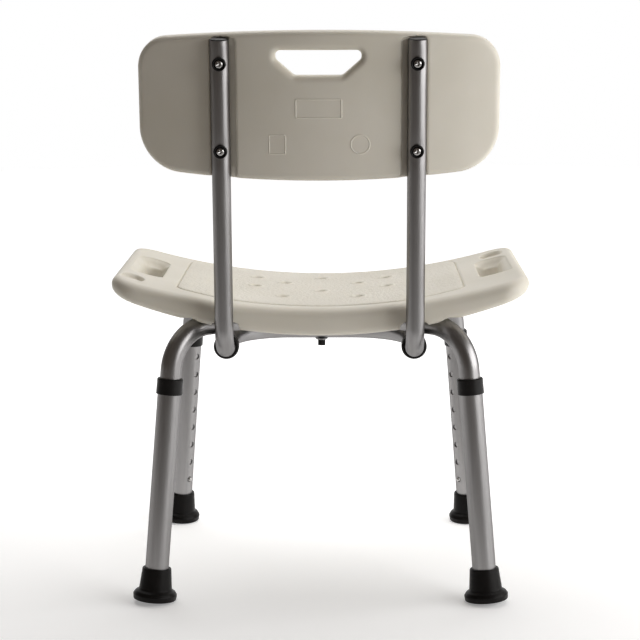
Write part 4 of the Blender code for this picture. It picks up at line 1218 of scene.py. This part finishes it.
def build_back_small_parts():
    stem = BACK_OD / 2 - TUBE_WALL - 0.4 * MM
    head = BACK_OD / 2
    profile = [
        (0, 2.1 * MM), (head * 0.5, 2 * MM), (head - 2.2 * MM, 1.6 * MM),
        (head - 0.4 * MM, 0.9 * MM), (head - 0.05 * MM, 0.2 * MM), (stem, 0.1 * MM),
        (stem, -9 * MM), (0, -10 * MM),
    ]
    cap = turned("tube_cap", profile)
    button = build_button_mesh("back_button_pin", RECEIVER_OD / 2 + BUTTON_PROUD, BACK_OD)
    for side, sign in SIDES.items():
        place = facing(back_corner(sign) + BACK_UP * BACK_TOP, BACK_UP)
        add_piece(f"tube_cap_{side}", cap, BLACK, "backrest", f"back_tube_cap_{side}", place=place)
        origin = (sign * BACK_X, BACK_BUTTON_Y, RECEIVER_Z)
        add_piece(f"back_pin_{side}", button, CHROME, f"back_button_{side}",
                  f"back_button_{side}", place=facing(origin, (0, 0, -1)))


# ---- carried-over CAD pieces

def finish_cad_nodes():
    """Small fasteners keep their CAD shape and get the finer materials."""
    steel = ("centre_bolt", "centre_washer", "foot_washer", "leg_clip", "seat_screw", "back_clip")
    for name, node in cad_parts.items():
        if name.startswith(steel + ("centre_cap_nut",)):
            node.data.materials.clear()
            node.data.materials.append(STEEL if name.startswith(steel) else BLACK)


# ---- stage

CAMERA_BACK = 2.432
CAMERA_HEIGHT = 0.7477
CAMERA_PITCH = radians(10.04)
CAMERA_ROLL = radians(0.20)
CHAIR_YAW = radians(0.894)
CAMERA_SHIFT = 0.0021
LENS = 108.0
SKY_BEHIND = (1.0, 1.0, 1.0)
SKY_FRONT = (0.098, 0.082, 0.069)
# Painted light on the floor: its emission is a painted glow, brighter far from the camera, and its
# colour darkens towards the camera as painted shade.
FLOOR_GLOW_FAR = (0.8, 0.8, 0.8)
FLOOR_GLOW_NEAR = (0.21, 0.21, 0.21)
SKY_FADE = (-0.95, -0.45)
FLOOR_PALE = (0.92, 0.92, 0.92)
FLOOR_PAINTED_SHADE = (0.25, 0.24, 0.23)
FLOOR_SHADE_FADE = (0.36, 0.8)
FLOOR_GLOW_FADE = (-1.4, 0.5)
FLOOR_R = 3.6
FLOOR_THICK = 0.02
FLOOR_PLACE = (0, -1.9, -0.2 * MM)
OVERHEAD_PLACE = (0.0, -0.9, 2.4)
OVERHEAD_AIM = (0, -0.5, 0)
OVERHEAD_SIZE = (2.6, 2.0)
OVERHEAD_POWER = 34.0
SIDE_TURN = radians(70.0)
SIDE_REACH = 2.3
SIDE_HEIGHT = 1.0
SIDE_AIM = (0, 0.1, 0.5)
SIDE_SIZE = (3.0, 1.5)
SIDE_POWER = 52.0


def add_camera():
    """Behind the chair, looking down at it along -Y."""
    data = bpy.data.cameras.new("camera")
    data.lens = LENS
    data.sensor_width = 36.0
    data.clip_end = 50.0
    camera = new_object("camera", data)
    camera.matrix_world = (
        Matrix.Rotation(CHAIR_YAW, 4, "Z")
        @ Matrix.Translation((CAMERA_SHIFT, CAMERA_BACK, CAMERA_HEIGHT))
        @ Matrix.Rotation(pi, 4, "Z")
        @ Matrix.Rotation(pi / 2 - CAMERA_PITCH, 4, "X")
        @ Matrix.Rotation(-CAMERA_ROLL, 4, "Z")
    )
    bpy.context.scene.camera = camera


def add_light(name, place, target, size, power):
    data = bpy.data.lights.new(name, "AREA")
    data.shape = "RECTANGLE"
    data.size, data.size_y = size
    data.energy = power
    light = new_object(name, data)
    light.visible_camera = False
    spin = (Vector(target) - Vector(place)).to_track_quat("-Z", "Y").to_matrix().to_4x4()
    light.matrix_world = Matrix.Translation(place) @ spin


def along_y(tree, coords, ends):
    """A number that runs from 0 to 1 as y goes from one end to the other."""
    place = add_node(tree, "ShaderNodeTexCoord")
    split = add_node(tree, "ShaderNodeSeparateXYZ")
    fade = add_node(tree, "ShaderNodeMapRange", interpolation_type="SMOOTHSTEP",
                    From_Min=ends[0], From_Max=ends[1])
    tree.links.new(place.outputs[coords], split.inputs["Vector"])
    tree.links.new(split.outputs["Y"], fade.inputs["Value"])
    return fade.outputs["Result"]


def add_sky():
    """White behind the chair, fading to a dim warm grey behind the camera."""
    world = bpy.data.worlds.new("studio")
    world.use_nodes = True
    bpy.context.scene.world = world
    tree = world.node_tree
    share = along_y(tree, "Generated", SKY_FADE)
    ramp(tree, share, SKY_BEHIND, SKY_FRONT, tree.nodes["Background"].inputs["Color"], (0, 1))


def floor_material():
    """Pale, with a painted glow: it emits faint light, most on the far side, and its colour is
    darkened on the camera's side as painted shade.
    """
    mat, tree, inputs = new_material("pale_floor", (0.9, 0.9, 0.9), 0.8, Emission_Strength=1.0)
    add_bump(tree, inputs, noise(tree, 180.0), 0.03, 0.3 * MM)
    # Painted shade: the floor's colour darkens towards the camera's side.
    near = along_y(tree, "Object", FLOOR_SHADE_FADE)
    ramp(tree, near, FLOOR_PALE, FLOOR_PAINTED_SHADE, inputs["Base Color"], (0, 1))
    # Painted glow: the floor emits light, most on the far side.
    near = along_y(tree, "Object", FLOOR_GLOW_FADE)
    ramp(tree, near, FLOOR_GLOW_FAR, FLOOR_GLOW_NEAR, inputs["Emission Color"], (0, 1))
    return mat


def add_stage():
    disc = [(0, 0), (FLOOR_R, 0), (FLOOR_R, -FLOOR_THICK), (0, -FLOOR_THICK)]
    mesh = turned("floor_disc", disc, 96)
    mesh.transform(Matrix.Translation(FLOOR_PLACE))
    mesh.materials.append(floor_material())
    floor = new_object("floor", mesh)
    add_sky()
    add_light("overhead", OVERHEAD_PLACE, OVERHEAD_AIM, OVERHEAD_SIZE, OVERHEAD_POWER)
    place = (-SIDE_REACH * sin(SIDE_TURN), SIDE_REACH * cos(SIDE_TURN), SIDE_HEIGHT)
    add_light("side", place, SIDE_AIM, SIDE_SIZE, SIDE_POWER)
    bpy.context.scene.view_settings.view_transform = "Standard"


build_seat()
build_backrest()
build_frame_tube("frame_tube_upper", LEGS["rear_left"], CROSS_SHIFT)
build_frame_tube("frame_tube_lower", LEGS["rear_right"], -CROSS_SHIFT)
build_legs()
build_receiver()
build_back_tubes()
build_screws()
build_back_small_parts()
finish_cad_nodes()
add_stage()
add_camera()
